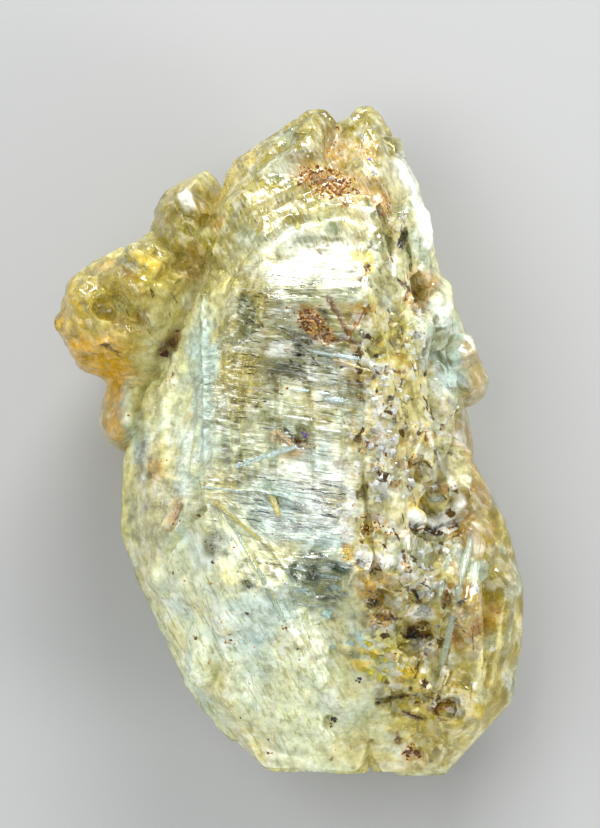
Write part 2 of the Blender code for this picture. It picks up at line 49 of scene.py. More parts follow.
# The long axis leans to the right; growth lines run across it, drawn out by this much
LEAN = math.radians(8)
AXIS = np.array([math.sin(LEAN), math.cos(LEAN), 0])
ACROSS = np.array([math.cos(LEAN), -math.sin(LEAN), 0])
DRAWN_OUT = 4.5

# The girdle's height; triangle edges above it, near the fine features there, and below it
GIRDLE = 5
UPPER_EDGE = 0.17
FEATURE_EDGE = 0.13
LOWER_EDGE = 0.42
FEATURES = (-3, 6, -6.5, 9.5)

# Cosine between flat neighbours, angle of a sharp edge, and how often worn edges are smoothed
FLAT = 0.99999
CREASE = math.radians(24)
WEAR_ROUNDS = 8

# Films: how far a ridge stands out, how far apart its rings are, and the step that ends a film
FILM_RISE = 0.018
FILM_SPACING = 0.06
DROP = 0.16

# A height over all of the crystal, from which the small bodies are let down on it
OVERHEAD = 20

QUARTZ_IOR = 1.544
IRON_IOR = 1.7

# Camera: what it looks at, how far above that it stands, its lens and its sensor's height
AIM = Vector((0.393, 1, 5.3))
CAMERA_HEIGHT = 260
LENS = 316
SENSOR = 36

# Lamps: name, place, size, watts
LAMPS = [
    ("key", (10, 150, 70), (80, 50), 0.34),
    ("overhead", (-70, 20, 170), (110, 110), 0.17),
    ("side", (130, -50, 60), (50, 90), 0.12),
]
SKY = (0.9, 0.95, 1, 1)
SKY_STRENGTH = 0.55
FLOOR_COLOUR = (0.41, 0.41, 0.405, 1)
FLOOR_HALF = 0.5

# Regions of the surface: x, y, half sizes, turn in degrees, softness of the rim
MIDDLE = (0.2, 0.6, 3.1, 6, 0, 0.25)
RIGHT = (4.2, -2, 2, 9, 4, 0.3)
TOP = (0.6, 8.8, 3.6, 3.4, 0, 0.3)
LOBES = (-5.6, 5.2, 3.4, 4.2, -30, 0.25)
LOWER = (-1.4, -7.6, 3.8, 4.4, 20, 0.3)
HOLLOW = (0.4, 0.2, 2.4, 5, 8, 0.3)
FLANK = (-3.6, 1, 1.8, 4.5, 0, 0.3)
WINDOW = (1.2, 6.3, 2.2, 1.5, 0, 0.3)


def screen(red, green, blue):
    """A colour of the screen as the shaders' linear values."""
    return np.array([(value / 255) ** 2.2 for value in (red, green, blue)])


WHITE = screen(250, 254, 244)
MILK = screen(232, 236, 182)
CREAM = screen(248, 234, 156)
STRAW = screen(242, 226, 80)
GOLD = screen(250, 210, 44)
AMBER = screen(250, 190, 20)
KHAKI = screen(224, 198, 44)
OCHRE = screen(200, 146, 40)
ORANGE = screen(206, 156, 70)
RUST = screen(156, 106, 40)
BROWN = screen(92, 56, 20)
BLACK = screen(26, 16, 12)
GREY = screen(166, 168, 136)
SAGE = screen(134, 158, 128)
TEAL = screen(12, 56, 54)
ICE = screen(204, 238, 236)
OLIVE = screen(206, 188, 62)
VIOLET = screen(120, 96, 200)
MAROON = screen(84, 28, 14)
PALE = screen(240, 248, 206)
FROST = screen(226, 244, 244)
TAN = screen(232, 206, 150)
UMBER = screen(112, 78, 20)
MIST = screen(220, 232, 214)


def table(rows, *whole):
    """Rows in hundredths, but for colours and whole columns; a list is a line's x, y, x, y."""
    def cell(column, value):
        if isinstance(value, list):
            return [(x / 100, y / 100) for x, y in zip(value[::2], value[1::2])]
        return value if column in whole or isinstance(value, np.ndarray) else value / 100
    return [[cell(column, value) for column, value in enumerate(row)] for row in rows]


# Colour zones: x, y, half sizes, turn in degrees, colour, strength, clearness
ZONES = table([
    # the lobe at the left
    (-640, 430, 250, 230, 20, KHAKI * 0.85, 95, 72), (-790, 390, 80, 200, 10, GOLD, 90, 60),
    (-680, 290, 180, 110, -12, AMBER, 100, 46), (-480, 540, 130, 130, 0, KHAKI, 70, 70),
    (-490, 270, 60, 50, 30, CREAM, 70, 54),
    # the dome above it
    (-350, 760, 150, 210, 25, OLIVE * 0.8, 100, 72), (-310, 860, 70, 60, 0, OCHRE, 40, 77),
    (-340, 640, 50, 70, 0, OCHRE, 60, 66),
    # the bump on the left flank
    (-640, 120, 60, 140, 8, AMBER, 100, 62), (-560, 100, 40, 120, 8, ICE, 80, 54),
    # the flank at the left
    (-420, 80, 130, 400, 4, MILK, 80, 30), (-460, -120, 90, 160, 0, CREAM, 70, 58),
    (-520, 0, 22, 120, 4, GREY, 50, 77), (-290, 200, 50, 300, 4, ICE, 75, 51),
    # the sunken face in the middle
    (20, 360, 220, 170, 0, GREY, 55, 88), (-160, 360, 90, 240, 0, KHAKI, 70, 70),
    (-60, -20, 190, 160, 0, SAGE, 25, 84), (60, -250, 220, 130, -8, ICE, 80, 58),
    (120, -140, 130, 160, 0, WHITE, 75, 35), (210, -200, 35, 160, 0, WHITE, 90, 35),
    (250, 420, 120, 110, 0, STRAW, 45, 66),
    # the top
    (-90, 900, 190, 190, 35, OLIVE, 70, 62), (60, 1100, 190, 140, 25, OLIVE * 0.8, 100, 65),
    (-190, 970, 50, 110, -30, GOLD, 70, 58), (60, 960, 200, 80, 0, OLIVE, 70, 62),
    (290, 1100, 90, 120, 15, OLIVE * 0.8, 100, 65), (300, 840, 140, 160, 15, CREAM, 60, 62),
    # white down the right top edge: a painted highlight where the edge catches light from the right
    (460, 890, 45, 190, 22, WHITE, 90, 51),
    # the right side
    (550, 320, 80, 160, 10, ICE, 80, 58), (670, 270, 60, 160, 8, OCHRE, 75, 66),
    (360, 100, 160, 280, 0, CREAM, 75, 54), (360, 340, 80, 150, 10, STRAW, 60, 58),
    (440, -160, 180, 200, 0, CREAM, 60, 58), (700, -220, 90, 260, -20, OCHRE * 0.8, 95, 60),
    (700, -40, 90, 180, 20, OCHRE * 0.9, 90, 60), (560, -600, 220, 220, 0, KHAKI, 55, 62),
    (320, -500, 100, 140, 0, KHAKI, 55, 66), (340, -760, 140, 100, 0, STRAW, 55, 58),
    (540, -940, 200, 160, 0, KHAKI, 80, 60), (770, -460, 90, 340, 0, KHAKI * 0.75, 100, 70),
    (660, -620, 80, 100, 10, OCHRE, 80, 55), (730, -820, 100, 180, -15, KHAKI * 0.75, 95, 70),
    # the lower end
    (-160, -700, 360, 400, 30, PALE, 80, 18), (-340, -560, 130, 190, 30, PALE, 90, 8),
    (-120, -630, 150, 100, 20, ICE, 50, 25), (20, -1080, 240, 120, 0, PALE, 80, 30),
    (340, -1090, 120, 100, 0, CREAM, 70, 45),
], 4)

# Marks on the upper side alone: the same, and how deep the surface is sunk there
MARKS = table([
    # the first mark, white on the dome, is a painted highlight
    (-367, 866, 26, 40, 15, WHITE, 100, 10, -5), (-298, 750, 30, 20, 0, MILK, 60, 30, 0),
    (-244, 780, 25, 25, 0, OCHRE, 80, 40, 4), (-580, 636, 46, 18, -15, TEAL, 60, 80, 8),
    (-503, 644, 60, 24, -20, GOLD, 70, 30, -6), (-654, 634, 40, 20, 30, ORANGE, 60, 45, 0),
    (-565, 593, 40, 12, -30, RUST, 80, 40, 4), (-592, 490, 40, 24, -30, SAGE, 50, 70, 6),
    (-647, 463, 34, 14, -20, TEAL, 60, 75, 6), (-695, 429, 22, 10, -20, TEAL, 50, 70, 4),
    (-640, 400, 70, 24, -25, CREAM, 60, 40, 0), (-765, 386, 14, 26, 20, SAGE, 50, 60, 3),
    (-520, 449, 28, 28, 0, BROWN, 70, 50, 6), (-367, 504, 18, 30, -25, WHITE, 90, 20, -3),
    (-416, 360, 22, 46, -30, RUST, 90, 30, 4), (-444, 316, 16, 22, -30, MAROON, 90, 30, 4),
    (-490, 250, 14, 40, -45, RUST, 60, 40, 0), (-474, -99, 28, 42, 15, OCHRE, 80, 40, 2),
    (-400, -240, 20, 60, -25, OCHRE, 70, 40, 0), (-150, 440, 35, 75, 0, SAGE, 80, 85, 5),
    (-62, 495, 35, 60, 0, BROWN, 50, 70, 0), (39, 366, 42, 22, -8, BLACK, 80, 85, 8),
    (48, 330, 32, 10, -8, BLACK, 70, 80, 4), (20, 255, 80, 34, -8, BLACK, 60, 85, 8),
    (-30, 330, 45, 30, 0, WHITE, 70, 20, -3), (95, 415, 30, 85, 38, OCHRE, 80, 45, 2),
    (240, 445, 70, 42, -8, OCHRE, 60, 55, 5), (260, 475, 60, 10, -8, ORANGE, 60, 40, 0),
    (216, 280, 50, 14, -10, ORANGE, 70, 40, 0), (254, 232, 40, 50, 0, OCHRE, 60, 45, 0),
    (197, 170, 80, 50, 0, GREY, 70, 75, 3), (125, 155, 40, 30, 0, WHITE, 80, 25, 0),
    (-38, 16, 36, 18, -20, ORANGE, 80, 50, 0), (20, 5, 60, 26, -25, BROWN, 70, 50, 0),
    (0, -41, 42, 14, 10, OCHRE, 80, 40, 0), (230, 50, 10, 80, 0, OCHRE, 60, 40, 3),
    (313, 336, 26, 26, 0, STRAW, 70, 40, -18), (32, 22, 26, 24, 0, GREY, 40, 60, -14),
    (278, -3, 30, 24, 0, BROWN, 60, 40, 6), (-149, -123, 60, 22, 0, GREY, 80, 60, 5),
    (-259, -363, 45, 50, 0, GREY, 80, 60, 5), (-140, -490, 30, 30, 0, SAGE, 70, 70, 5),
    # the teal marks on this line and the next three paint the sunken window dark: painted shade of
    # dark surroundings seen through clear quartz
    (-63, -449, 30, 20, -30, TEAL, 60, 70, 4), (100, -470, 115, 105, -10, SAGE, 80, 60, 0),
    (80, -395, 40, 20, -12, TEAL, 100, 45, 2), (12, -457, 22, 36, -10, TEAL, 100, 45, 3),
    (76, -475, 36, 48, -10, TEAL, 100, 45, 3), (180, -435, 38, 22, -10, TEAL, 100, 45, 2),
    # the white mark at the end of this line and the first on the next are a painted highlight: the
    # lamp's blown reflection on the facet under the top
    (146, -532, 50, 26, -10, TEAL, 90, 45, 2), (130, 660, 160, 90, -10, WHITE, 90, 20, 0),
    (10, 610, 90, 40, 20, WHITE, 90, 20, 0), (55, 715, 40, 12, 20, SAGE, 70, 60, 2),
    (145, 720, 50, 8, -8, GREY, 70, 60, 2), (255, 655, 40, 22, -10, STRAW, 80, 40, 0),
    (275, 616, 22, 26, 0, STRAW, 90, 40, 3), (90, 690, 60, 7, -8, GREY, 60, 60, 1),
    (160, 610, 80, 6, -8, GREY, 60, 60, 2), (155, 755, 32, 18, -10, SAGE, 90, 60, 3),
    (330, 705, 34, 40, 0, SAGE, 80, 60, 6), (286, 839, 12, 55, 8, SAGE, 80, 60, 3),
    (57, 1016, 70, 26, 5, BROWN, 60, 50, 5), (168, 1050, 40, 80, 10, ORANGE, 95, 35, 5),
    (270, 1040, 50, 40, 0, ORANGE, 80, 40, 0), (150, 935, 150, 50, -14, ORANGE, 85, 35, 4),
    (315, 875, 34, 75, 25, ORANGE, 90, 35, 4), (474, 535, 42, 75, -35, OCHRE, 90, 45, -12),
    (440, 586, 32, 14, 20, ORANGE, 80, 40, 0), (540, 460, 45, 55, 20, WHITE, 80, 20, -4),
    (530, -215, 42, 42, 0, CREAM, 80, 30, -24), (515, -162, 46, 30, 0, BROWN, 90, 60, 5),
    (475, -240, 34, 12, 30, GOLD, 80, 30, 0), (465, -99, 20, 22, 0, BROWN, 70, 70, 6),
    (428, -77, 11, 24, 5, RUST, 100, 30, 5), (483, 19, 10, 26, 15, RUST, 100, 30, 5),
    (620, 10, 30, 30, 0, WHITE, 80, 20, -3), (460, -215, 45, 16, 25, GOLD, 90, 30, 0),
    (310, -270, 36, 16, -15, RUST, 80, 40, 6), (280, -320, 55, 40, 0, KHAKI, 80, 40, 6),
    (210, -380, 24, 32, 0, GOLD, 90, 40, 0), (300, -415, 70, 28, -10, WHITE, 90, 15, -5),
    (462, -375, 50, 65, -15, SAGE, 50, 60, 5), (300, -510, 75, 50, -10, OCHRE, 70, 45, 5),
    (293, -563, 26, 20, 0, BLACK, 90, 30, 12), (342, -616, 48, 16, -10, BROWN, 100, 30, 12),
    (461, -678, 52, 26, -8, BROWN, 100, 30, 16), (466, -605, 50, 26, -5, WHITE, 90, 15, -6),
    (482, -516, 16, 46, 20, WHITE, 90, 15, -5), (560, -542, 16, 40, 0, BROWN, 90, 30, 8),
    (626, -521, 20, 26, 0, RUST, 90, 40, 5), (612, -560, 24, 10, 25, BLACK, 90, 30, 8),
    (657, -516, 16, 18, 0, WHITE, 100, 15, -4), (723, -510, 20, 14, 0, WHITE, 70, 20, -3),
    (670, -458, 38, 42, 0, ICE, 80, 30, -5), (662, -655, 32, 38, 10, RUST, 80, 40, 5),
    (588, -685, 14, 40, -5, RUST, 90, 40, 5), (728, -594, 20, 20, 0, RUST, 70, 40, 2),
    (745, -542, 26, 16, 0, BROWN, 50, 40, 2), (750, -300, 40, 70, -25, OCHRE, 60, 40, 0),
    (690, -210, 22, 60, -25, BROWN, 40, 40, 3), (620, -710, 50, 40, 0, OCHRE, 50, 40, 0),
    (278, -736, 36, 20, -20, GOLD, 100, 30, 0), (251, -788, 30, 16, 10, GOLD, 90, 30, 0),
    (398, -757, 30, 22, 0, GOLD, 70, 30, 0), (429, -809, 50, 20, -8, GOLD, 100, 30, 0),
    (246, -752, 36, 14, 0, SAGE, 90, 60, 4), (335, -773, 36, 12, -12, SAGE, 90, 60, 4),
    (319, -883, 20, 34, -10, GREY, 90, 55, 4), (256, -694, 16, 42, 50, ICE, 90, 30, -6),
    (482, -730, 55, 26, 0, WHITE, 70, 20, -3), (550, -942, 42, 14, 14, RUST, 90, 30, 8),
    (592, -962, 26, 22, -15, TEAL, 90, 50, 8), (650, -993, 28, 16, -10, GREY, 70, 50, 4),
    (450, -976, 42, 12, -18, BROWN, 70, 40, 6), (440, -1110, 42, 24, 0, OCHRE, 70, 35, 4),
    (655, -867, 13, 13, 0, WHITE, 100, 10, -5), (690, -810, 14, 75, -15, CREAM, 80, 30, -5),
    (30, -1020, 130, 80, 0, MILK, 60, 20, 0),
], 4)

# Places that are worn smooth: x, y, half sizes
WORN = table([
    (315, 330, 60, 60), (30, 15, 70, 60), (110, -460, 120, 100), (-300, 180, 50, 280),
    (-400, -240, 50, 90), (-320, -680, 130, 190), (530, -215, 70, 60),
])

# Low ridges on the upper side: points, half width, colour, strength, clearness, rise
BANDS = table([
    ([-210, 830, -270, 670, -339, 483], 6, CREAM, 60, 40, 4),
    # the first band is a low ridge on the right top edge; its white is a painted highlight of light
    # from the right
    ([390, 995, 450, 890, 485, 760, 495, 710], 26, WHITE, 90, 20, 5),
    ([375, 675, 372, 590], 8, WHITE, 100, 15, 5),
    ([438, -252, 483, -288, 533, -280, 583, -246, 610, -216], 22, WHITE, 100, 5, 30),
    ([490, 30, 550, -100, 614, -204], 7, WHITE, 90, 20, 5),
    ([475, 30, 436, -60, 436, -150], 7, CREAM, 80, 30, 5),
    ([417, -267, 418, -403, 440, -478], 7, WHITE, 100, 20, 5),
    ([287, 280, 316, 241], 7, WHITE, 100, 20, 4),
    ([513, -940, 542, -1010, 545, -1090], 8, CREAM, 80, 30, 5),
    ([720, -860, 745, -740, 750, -660], 10, CREAM, 70, 30, 5),
    ([630, -740, 675, -690, 695, -790], 7, CREAM, 70, 30, 4),
])

# Cracks that hold iron oxide: points, width, colour
CRACKS = table([
    ([-415, 360, -442, 319, -476, 265, -517, 230], 14, BROWN),
    ([-430, 342, -440, 325, -452, 302], 24, MAROON),
    ([-660, 346, -630, 324, -600, 312], 5, BROWN),
    ([400, 743, 385, 692], 9, BLACK),
    ([416, 740, 400, 690], 8, BLACK),
    ([385, 572, 412, 562, 426, 545, 412, 504], 8, BROWN),
    ([268, 630, 280, 615, 275, 600], 6, BROWN),
    ([138, 507, 172, 440, 209, 373], 12, UMBER),
    ([271, 464, 240, 420, 207, 375], 8, RUST),
    ([144, 356, 201, 366, 244, 346], 9, UMBER),
    ([345, 250, 370, 256, 398, 246], 7, BROWN),
    ([-12, 47, 10, 20, 32, 0], 8, BLACK),
    ([-375, -220, -395, -283, -419, -314], 5, OCHRE * 0.5),
    ([423, -295, 463, -303, 508, -320, 545, -308, 590, -288], 17, BLACK),
    ([403, -390, 405, -425], 14, BROWN),
    ([563, -162, 583, -202], 6, BROWN),
    ([429, -516, 445, -540, 456, -555], 11, BLACK),
    ([314, -922, 346, -914, 372, -901, 398, -901], 10, BLACK),
    ([398, -901, 450, -896, 487, -906, 513, -917], 6, BROWN),
    ([513, -938, 550, -928, 592, -917], 12, BLACK),
    ([513, -940, 539, -987], 7, BROWN),
    ([409, -961, 450, -974, 487, -988], 8, BROWN),
    ([387, -1045, 385, -1075], 12, BROWN),
    ([415, -690, 450, -700, 495, -692], 10, BLACK),
])

# Grains of iron oxide: x, y, half sizes, turn, number, grain size, colour
GRAINS = table([
    (311, 308, 6, 6, 0, 5, 16, BLACK), (187, 265, 7, 3, 0, 4, 9, BLACK),
    (306, 181, 3, 3, 0, 3, 10, BLACK), (53, 26, 12, 10, 0, 6, 9, VIOLET),
    (50, -3, 24, 12, 0, 10, 10, BROWN), (195, 270, 3, 3, 0, 2, 7, VIOLET),
    (314, -615, 5, 5, 0, 3, 9, VIOLET), (531, -649, 7, 6, 0, 4, 10, VIOLET),
    (284, 1004, 4, 4, 0, 3, 8, VIOLET), (90, 420, 26, 80, 40, 40, 8, RUST),
    (80, 405, 22, 34, 20, 24, 8, ORANGE), (80, 935, 55, 20, -5, 34, 9, RUST),
    (165, 905, 60, 24, -15, 36, 9, RUST), (130, 925, 90, 34, -8, 34, 8, ORANGE),
    (194, 839, 10, 12, 0, 8, 9, RUST), (130, 930, 90, 30, -8, 24, 9, BROWN),
    (95, 410, 24, 75, 38, 20, 8, BROWN), (340, 835, 20, 45, 10, 36, 8, RUST),
    (275, 616, 8, 12, 0, 8, 9, BROWN), (-412, 362, 10, 24, -30, 16, 7, RUST),
    (-444, 316, 10, 15, -30, 16, 11, MAROON), (-410, 243, 5, 5, 0, 3, 7, BROWN),
    (-366, 84, 6, 6, 0, 4, 7, ORANGE), (-395, -250, 10, 50, -25, 14, 6, RUST),
    (-318, -258, 5, 8, 0, 5, 8, BROWN), (-259, -274, 2, 2, 0, 1, 6, BLACK),
    (-259, -355, 34, 40, 0, 24, 4.5, BLACK), (-265, -421, 3, 3, 0, 3, 9, BLACK),
    (-204, -341, 2, 2, 0, 1, 6, BLACK), (-407, -461, 4, 6, 0, 4, 8, BROWN),
    (-272, -492, 10, 6, 0, 6, 7, OCHRE), (-140, -507, 4, 3, 0, 3, 9, BLACK),
    (-149, -601, 5, 3, -15, 3, 9, BLACK), (-333, -587, 2, 2, 0, 1, 6, BROWN),
    (-333, -695, 5, 5, 0, 4, 7, BROWN), (-204, -698, 5, 5, 0, 4, 7, BROWN),
    (-287, -781, 5, 5, 0, 3, 7, OCHRE), (-10, -655, 5, 5, 0, 4, 7, BROWN),
    (30, -729, 2, 2, 0, 2, 8, BLACK), (100, -770, 2, 2, 0, 1, 6, BROWN),
    (-170, -980, 3, 3, 0, 2, 7, BROWN), (-75, -1060, 4, 3, 0, 3, 7, BROWN),
    (-75, -1110, 3, 3, 0, 2, 7, BROWN), (220, -1090, 5, 10, 30, 4, 7, OCHRE),
    (150, -1130, 5, 5, 0, 3, 7, BROWN), (158, -985, 12, 10, -20, 7, 11, BLACK),
    (150, -1008, 4, 10, 0, 4, 8, BROWN), (246, -840, 14, 12, -40, 7, 8, BLACK),
    (293, -563, 18, 14, 0, 11, 12, BLACK), (295, -545, 24, 14, 0, 11, 8, RUST),
    (288, -520, 3, 3, 0, 2, 8, BLACK), (345, -616, 36, 10, -10, 16, 11, BROWN),
    (461, -674, 42, 18, -8, 28, 12, BROWN), (440, -686, 22, 10, -8, 10, 12, BLACK),
    (472, -666, 16, 8, 0, 6, 9, GOLD), (300, -300, 50, 35, 0, 18, 8, BROWN),
    (208, -370, 16, 20, 0, 11, 7, ORANGE), (665, -652, 22, 28, 10, 24, 8, RUST),
    (588, -685, 8, 30, -5, 12, 8, RUST), (728, -594, 12, 14, 0, 7, 8, RUST),
    (560, -542, 8, 26, 0, 8, 10, BROWN), (610, -560, 18, 5, 25, 6, 11, BLACK),
    (548, -942, 30, 6, 14, 10, 8, RUST), (424, -1103, 7, 7, 0, 7, 11, BROWN),
    (456, -1113, 9, 7, 0, 8, 12, BROWN), (278, -3, 18, 14, 0, 8, 8, BROWN),
    (428, -77, 5, 16, 5, 9, 9, RUST), (483, 19, 5, 18, 15, 8, 8, RUST),
    (696, -768, 4, 8, 0, 3, 8, BROWN), (166, 1050, 14, 36, 10, 16, 7, RUST),
    (470, 510, 30, 50, -35, 12, 6, RUST),
], 4, 5)

# Quartz chips: x, y, half sizes, turn, number, chip size, colour
CHIPS = table([
    (-10, 455, 26, 24, 0, 7, 9, WHITE), (80, -250, 140, 90, -8, 18, 23, WHITE),
    (450, 370, 40, 90, 0, 24, 21, WHITE), (360, -120, 70, 130, 0, 36, 23, WHITE),
    (330, 120, 80, 160, 0, 33, 23, WHITE), (330, 360, 90, 120, 0, 21, 23, CREAM),
    (466, -600, 45, 22, -5, 12, 23, WHITE), (470, -725, 45, 20, 0, 9, 23, WHITE),
    (490, -490, 50, 70, 20, 14, 25, WHITE), (280, -410, 60, 24, -10, 8, 25, WHITE),
    (340, -760, 110, 80, 0, 18, 27, STRAW), (180, -660, 90, 80, 0, 8, 25, ICE),
    # the white chips on this line, the next, and the first of the line after sit where the top
    # glints; their white tint is partly a painted glint
    (299, 948, 14, 14, 0, 7, 12, WHITE), (149, 928, 6, 14, 0, 6, 12, WHITE),
    (405, 798, 10, 18, 0, 6, 12, WHITE), (316, 810, 10, 20, 0, 9, 12, WHITE),
    (258, 1098, 7, 16, 0, 7, 12, WHITE), (0, 860, 160, 120, 20, 18, 19, CREAM),
    (657, -516, 10, 12, 0, 8, 14, WHITE), (690, -810, 12, 60, -15, 8, 12, CREAM),
], 4, 5)

# Slim crystals lying on the surface: both ends, width, thickness as a share of it, colour
BLADES = table([
    (650, -330, 590, -535, 27, 70, MIST), (602, -500, 536, -820, 25, 70, MIST),
    (566, -395, 530, -546, 20, 60, MIST), (-190, -84, -90, -50, 20, 30, FROST),
    (-100, -54, 30, -14, 18, 30, FROST), (-72, -165, -32, -262, 24, 30, CREAM),
    (-44, 46, 12, -12, 24, 30, TAN), (-190, -305, -90, -480, 16, 40, MIST),
    (-110, -440, -10, -640, 22, 40, MIST), (-270, -200, -90, -350, 12, 40, CREAM),
    (-160, -340, -40, -560, 6, 50, CREAM), (-300, -155, -150, -175, 10, 50, FROST),
    (-160, -155, -60, -220, 9, 50, WHITE), (75, 322, 270, 290, 16, 30, FROST),
    (150, 295, 290, 250, 9, 40, CREAM), (271, 286, 307, 232, 10, 60, WHITE),
    (10, 190, 150, 170, 12, 30, FROST), (120, 155, 210, 145, 22, 30, FROST),
    (-20, 95, 140, 70, 9, 40, WHITE), (90, 50, 190, 36, 8, 40, WHITE),
    (486, -200, 552, -198, 30, 60, FROST), (414, -262, 412, -420, 6, 60, CREAM),
    # from here on, flat panes in the dark window; their frost-white tint is partly a painted glint
    (26, -438, 48, -442, 22, 30, FROST), (130, -422, 162, -428, 20, 30, FROST),
    (110, -466, 184, -478, 13, 30, FROST), (22, -516, 56, -520, 18, 30, FROST),
    (30, -566, 124, -578, 14, 30, FROST), (142, -506, 180, -514, 20, 30, FROST),
    (96, -460, 110, -462, 10, 40, FROST), (-20, -495, 0, -498, 10, 40, FROST),
    (120, -398, 142, -402, 10, 40, FROST),
])

# Edges of growth steps, fractures: x, y, half sizes, slope, number, length, width, colour
STEPS = table([
    # the white and misty edges on this line are partly painted reflection: silvery flashes off
    # internal lamellae drawn as pale films
    (50, -240, 150, 110, -8, 76, 100, 6.5, WHITE), (40, -220, 150, 120, -8, 30, 80, 5.5, MIST),
    (20, -210, 160, 90, -8, 22, 80, 4.5, TEAL), (40, 570, 200, 50, -8, 18, 130, 4.5, WHITE),
    (40, 550, 180, 40, -8, 8, 60, 3.5, TEAL), (60, 170, 190, 160, -8, 56, 80, 5, WHITE),
    (20, 270, 160, 130, -8, 44, 32, 5, BLACK), (120, 70, 110, 50, -8, 14, 90, 4.5, CREAM),
    (-140, 410, 50, 110, -25, 40, 26, 5, BROWN * 0.5), (10, 350, 60, 45, -16, 26, 28, 5.5, WHITE),
    (50, 310, 70, 50, -20, 20, 24, 5, BLACK), (-230, 150, 60, 260, -8, 24, 60, 3.5, WHITE),
    (-130, 200, 80, 260, -8, 24, 50, 3, BROWN), (-260, -40, 50, 100, -8, 12, 50, 3.5, WHITE),
    (115, -460, 90, 70, -10, 12, 26, 9, ICE), (-180, -500, 160, 180, -58, 20, 110, 3.5, WHITE),
    (-80, -820, 220, 160, -70, 14, 80, 3.5, WHITE), (90, -690, 100, 90, -30, 12, 50, 4, WHITE),
    (-40, 860, 150, 140, -60, 26, 34, 3.5, WHITE), (-20, 840, 160, 150, -60, 26, 26, 3.5, BROWN),
    (-520, 500, 120, 120, -55, 12, 40, 4, BROWN), (520, -800, 140, 180, -75, 10, 60, 4.5, BROWN),
    (430, -150, 110, 320, -62, 12, 50, 7, BROWN), (400, 300, 90, 220, -70, 9, 50, 6, BROWN),
    (410, 640, 50, 120, -75, 10, 60, 5, BROWN), (430, -520, 120, 140, -35, 9, 50, 8, BROWN),
    (700, -600, 70, 260, -95, 14, 70, 4, CREAM),
], 4, 5)

# Blades: samples of the surface below, sides, and each ring's place and width
BLADE_SAMPLES = 9
BLADE_SIDES = 6
BLADE_RINGS = ((0, 0.2), (0.08, 0.75), (0.35, 1), (0.8, 0.85), (0.94, 0.6), (1, 0.1))

# Grains and chips: the spans of their sizes and of their stretch along each axis
GRAIN_SIZES = (0.55, 1.35)
CHIP_SIZES = (0.3, 1.5)
STRETCH = ((0.6, 1.3), (0.6, 1.3), (0.5, 1))

# A fan of fractures: where it starts, the directions it spans in degrees, and its rays
FAN_START = (-2.96, -1.5)
FAN_SPAN = (-14, -74)
FAN_RAYS = 15


def hashed(cells, seed):
    """Even pseudo-random numbers from 0 to 1 for whole-number cells."""
    mixed = cells.astype(np.int64) @ np.array([73856093, 19349663, 83492791]) + seed * 15485863
    mixed = ((mixed ^ (mixed >> 13)) * 1274126177) & 0xFFFFFFFF
    mixed = ((mixed ^ (mixed >> 16)) * 2246822519) & 0xFFFFFFFF
    return ((mixed ^ (mixed >> 13)) & 0xFFFFFF) / float(0x1000000)


def noise(points, size, seed):
    """Smooth noise from -1 to 1 whose lumps are about this size."""
    spot = points / size
    cell = np.floor(spot)
    part = spot - cell
    part = part * part * (3 - 2 * part)
    level = np.zeros(len(points))
    for corner in range(8):
        step = np.array([corner & 1, corner >> 1 & 1, corner >> 2 & 1])
        weight = np.prod(np.where(step, part, 1 - part), axis=1)
        level += weight * hashed(cell + step, seed)
    return level * 2 - 1


def layered(points, size, seed, layers=3):
    """Noise with finer noise on it, from about -1 to 1."""
    level = np.zeros(len(points))
    for layer in range(layers):
        level += noise(points, size * 0.5 ** layer, seed + layer) * 0.5 ** layer
    return level / 1.4


def shifts(kind, points, size, seed, *more):
    """Noise of this kind for each of the three axes."""
    return np.stack([kind(points, size, seed + axis, *more) for axis in range(3)], axis=1)


def chips(points, size, seed):
    """Heights of flat chips, each about this size and tilted its own way."""
    spot = points / size
    cell = np.floor(spot)
    nearest = np.full(len(points), 9.0)
    height = np.zeros(len(points))
    for index in range(27):
        there = cell + np.array([index % 3 - 1, index // 3 % 3 - 1, index // 9 - 1])
        middle = there + 0.5
        for axis in range(3):
            middle[:, axis] += (hashed(there, seed + axis) - 0.5) * 0.9
        away = spot - middle
        distance = (away * away).sum(axis=1)
        rise = hashed(there, seed + 6) - 0.5
        for axis in range(3):
            rise += away[:, axis] * (hashed(there, seed + 3 + axis) * 2 - 1)
        closer = distance < nearest
        nearest[closer] = distance[closer]
        height[closer] = rise[closer]
    return height * size


def eased(value):
    value = np.clip(value, 0, 1)
    return value * value * (3 - 2 * value)


def ellipse(points, x, y, wide, high, turn=0, soft=0.35, power=2):
    """1 inside an ellipse seen from above and 0 outside, with a soft rim; squarer by its power."""
    angle = math.radians(turn)
    away = points[:, :2] - np.array([x, y])
    along = (away[:, 0] * math.cos(angle) + away[:, 1] * math.sin(angle)) / wide
    over = (away[:, 1] * math.cos(angle) - away[:, 0] * math.sin(angle)) / high
    reach = (np.abs(along) ** power + np.abs(over) ** power) ** (1 / power)
    return eased((1 + soft - reach) / (2 * soft))


def along_line(points, line):
    """Each point's distance from a line of points seen from above."""
    best = np.full(len(points), 1e9)
    for first, second in zip(line[:-1], line[1:]):
        first, way = np.array(first), np.array(second) - np.array(first)
        part = np.clip(((points[:, :2] - first) @ way) / (way @ way), 0, 1)
        away = points[:, :2] - first - part[:, None] * way
        best = np.minimum(best, np.hypot(away[:, 0], away[:, 1]))
    return best


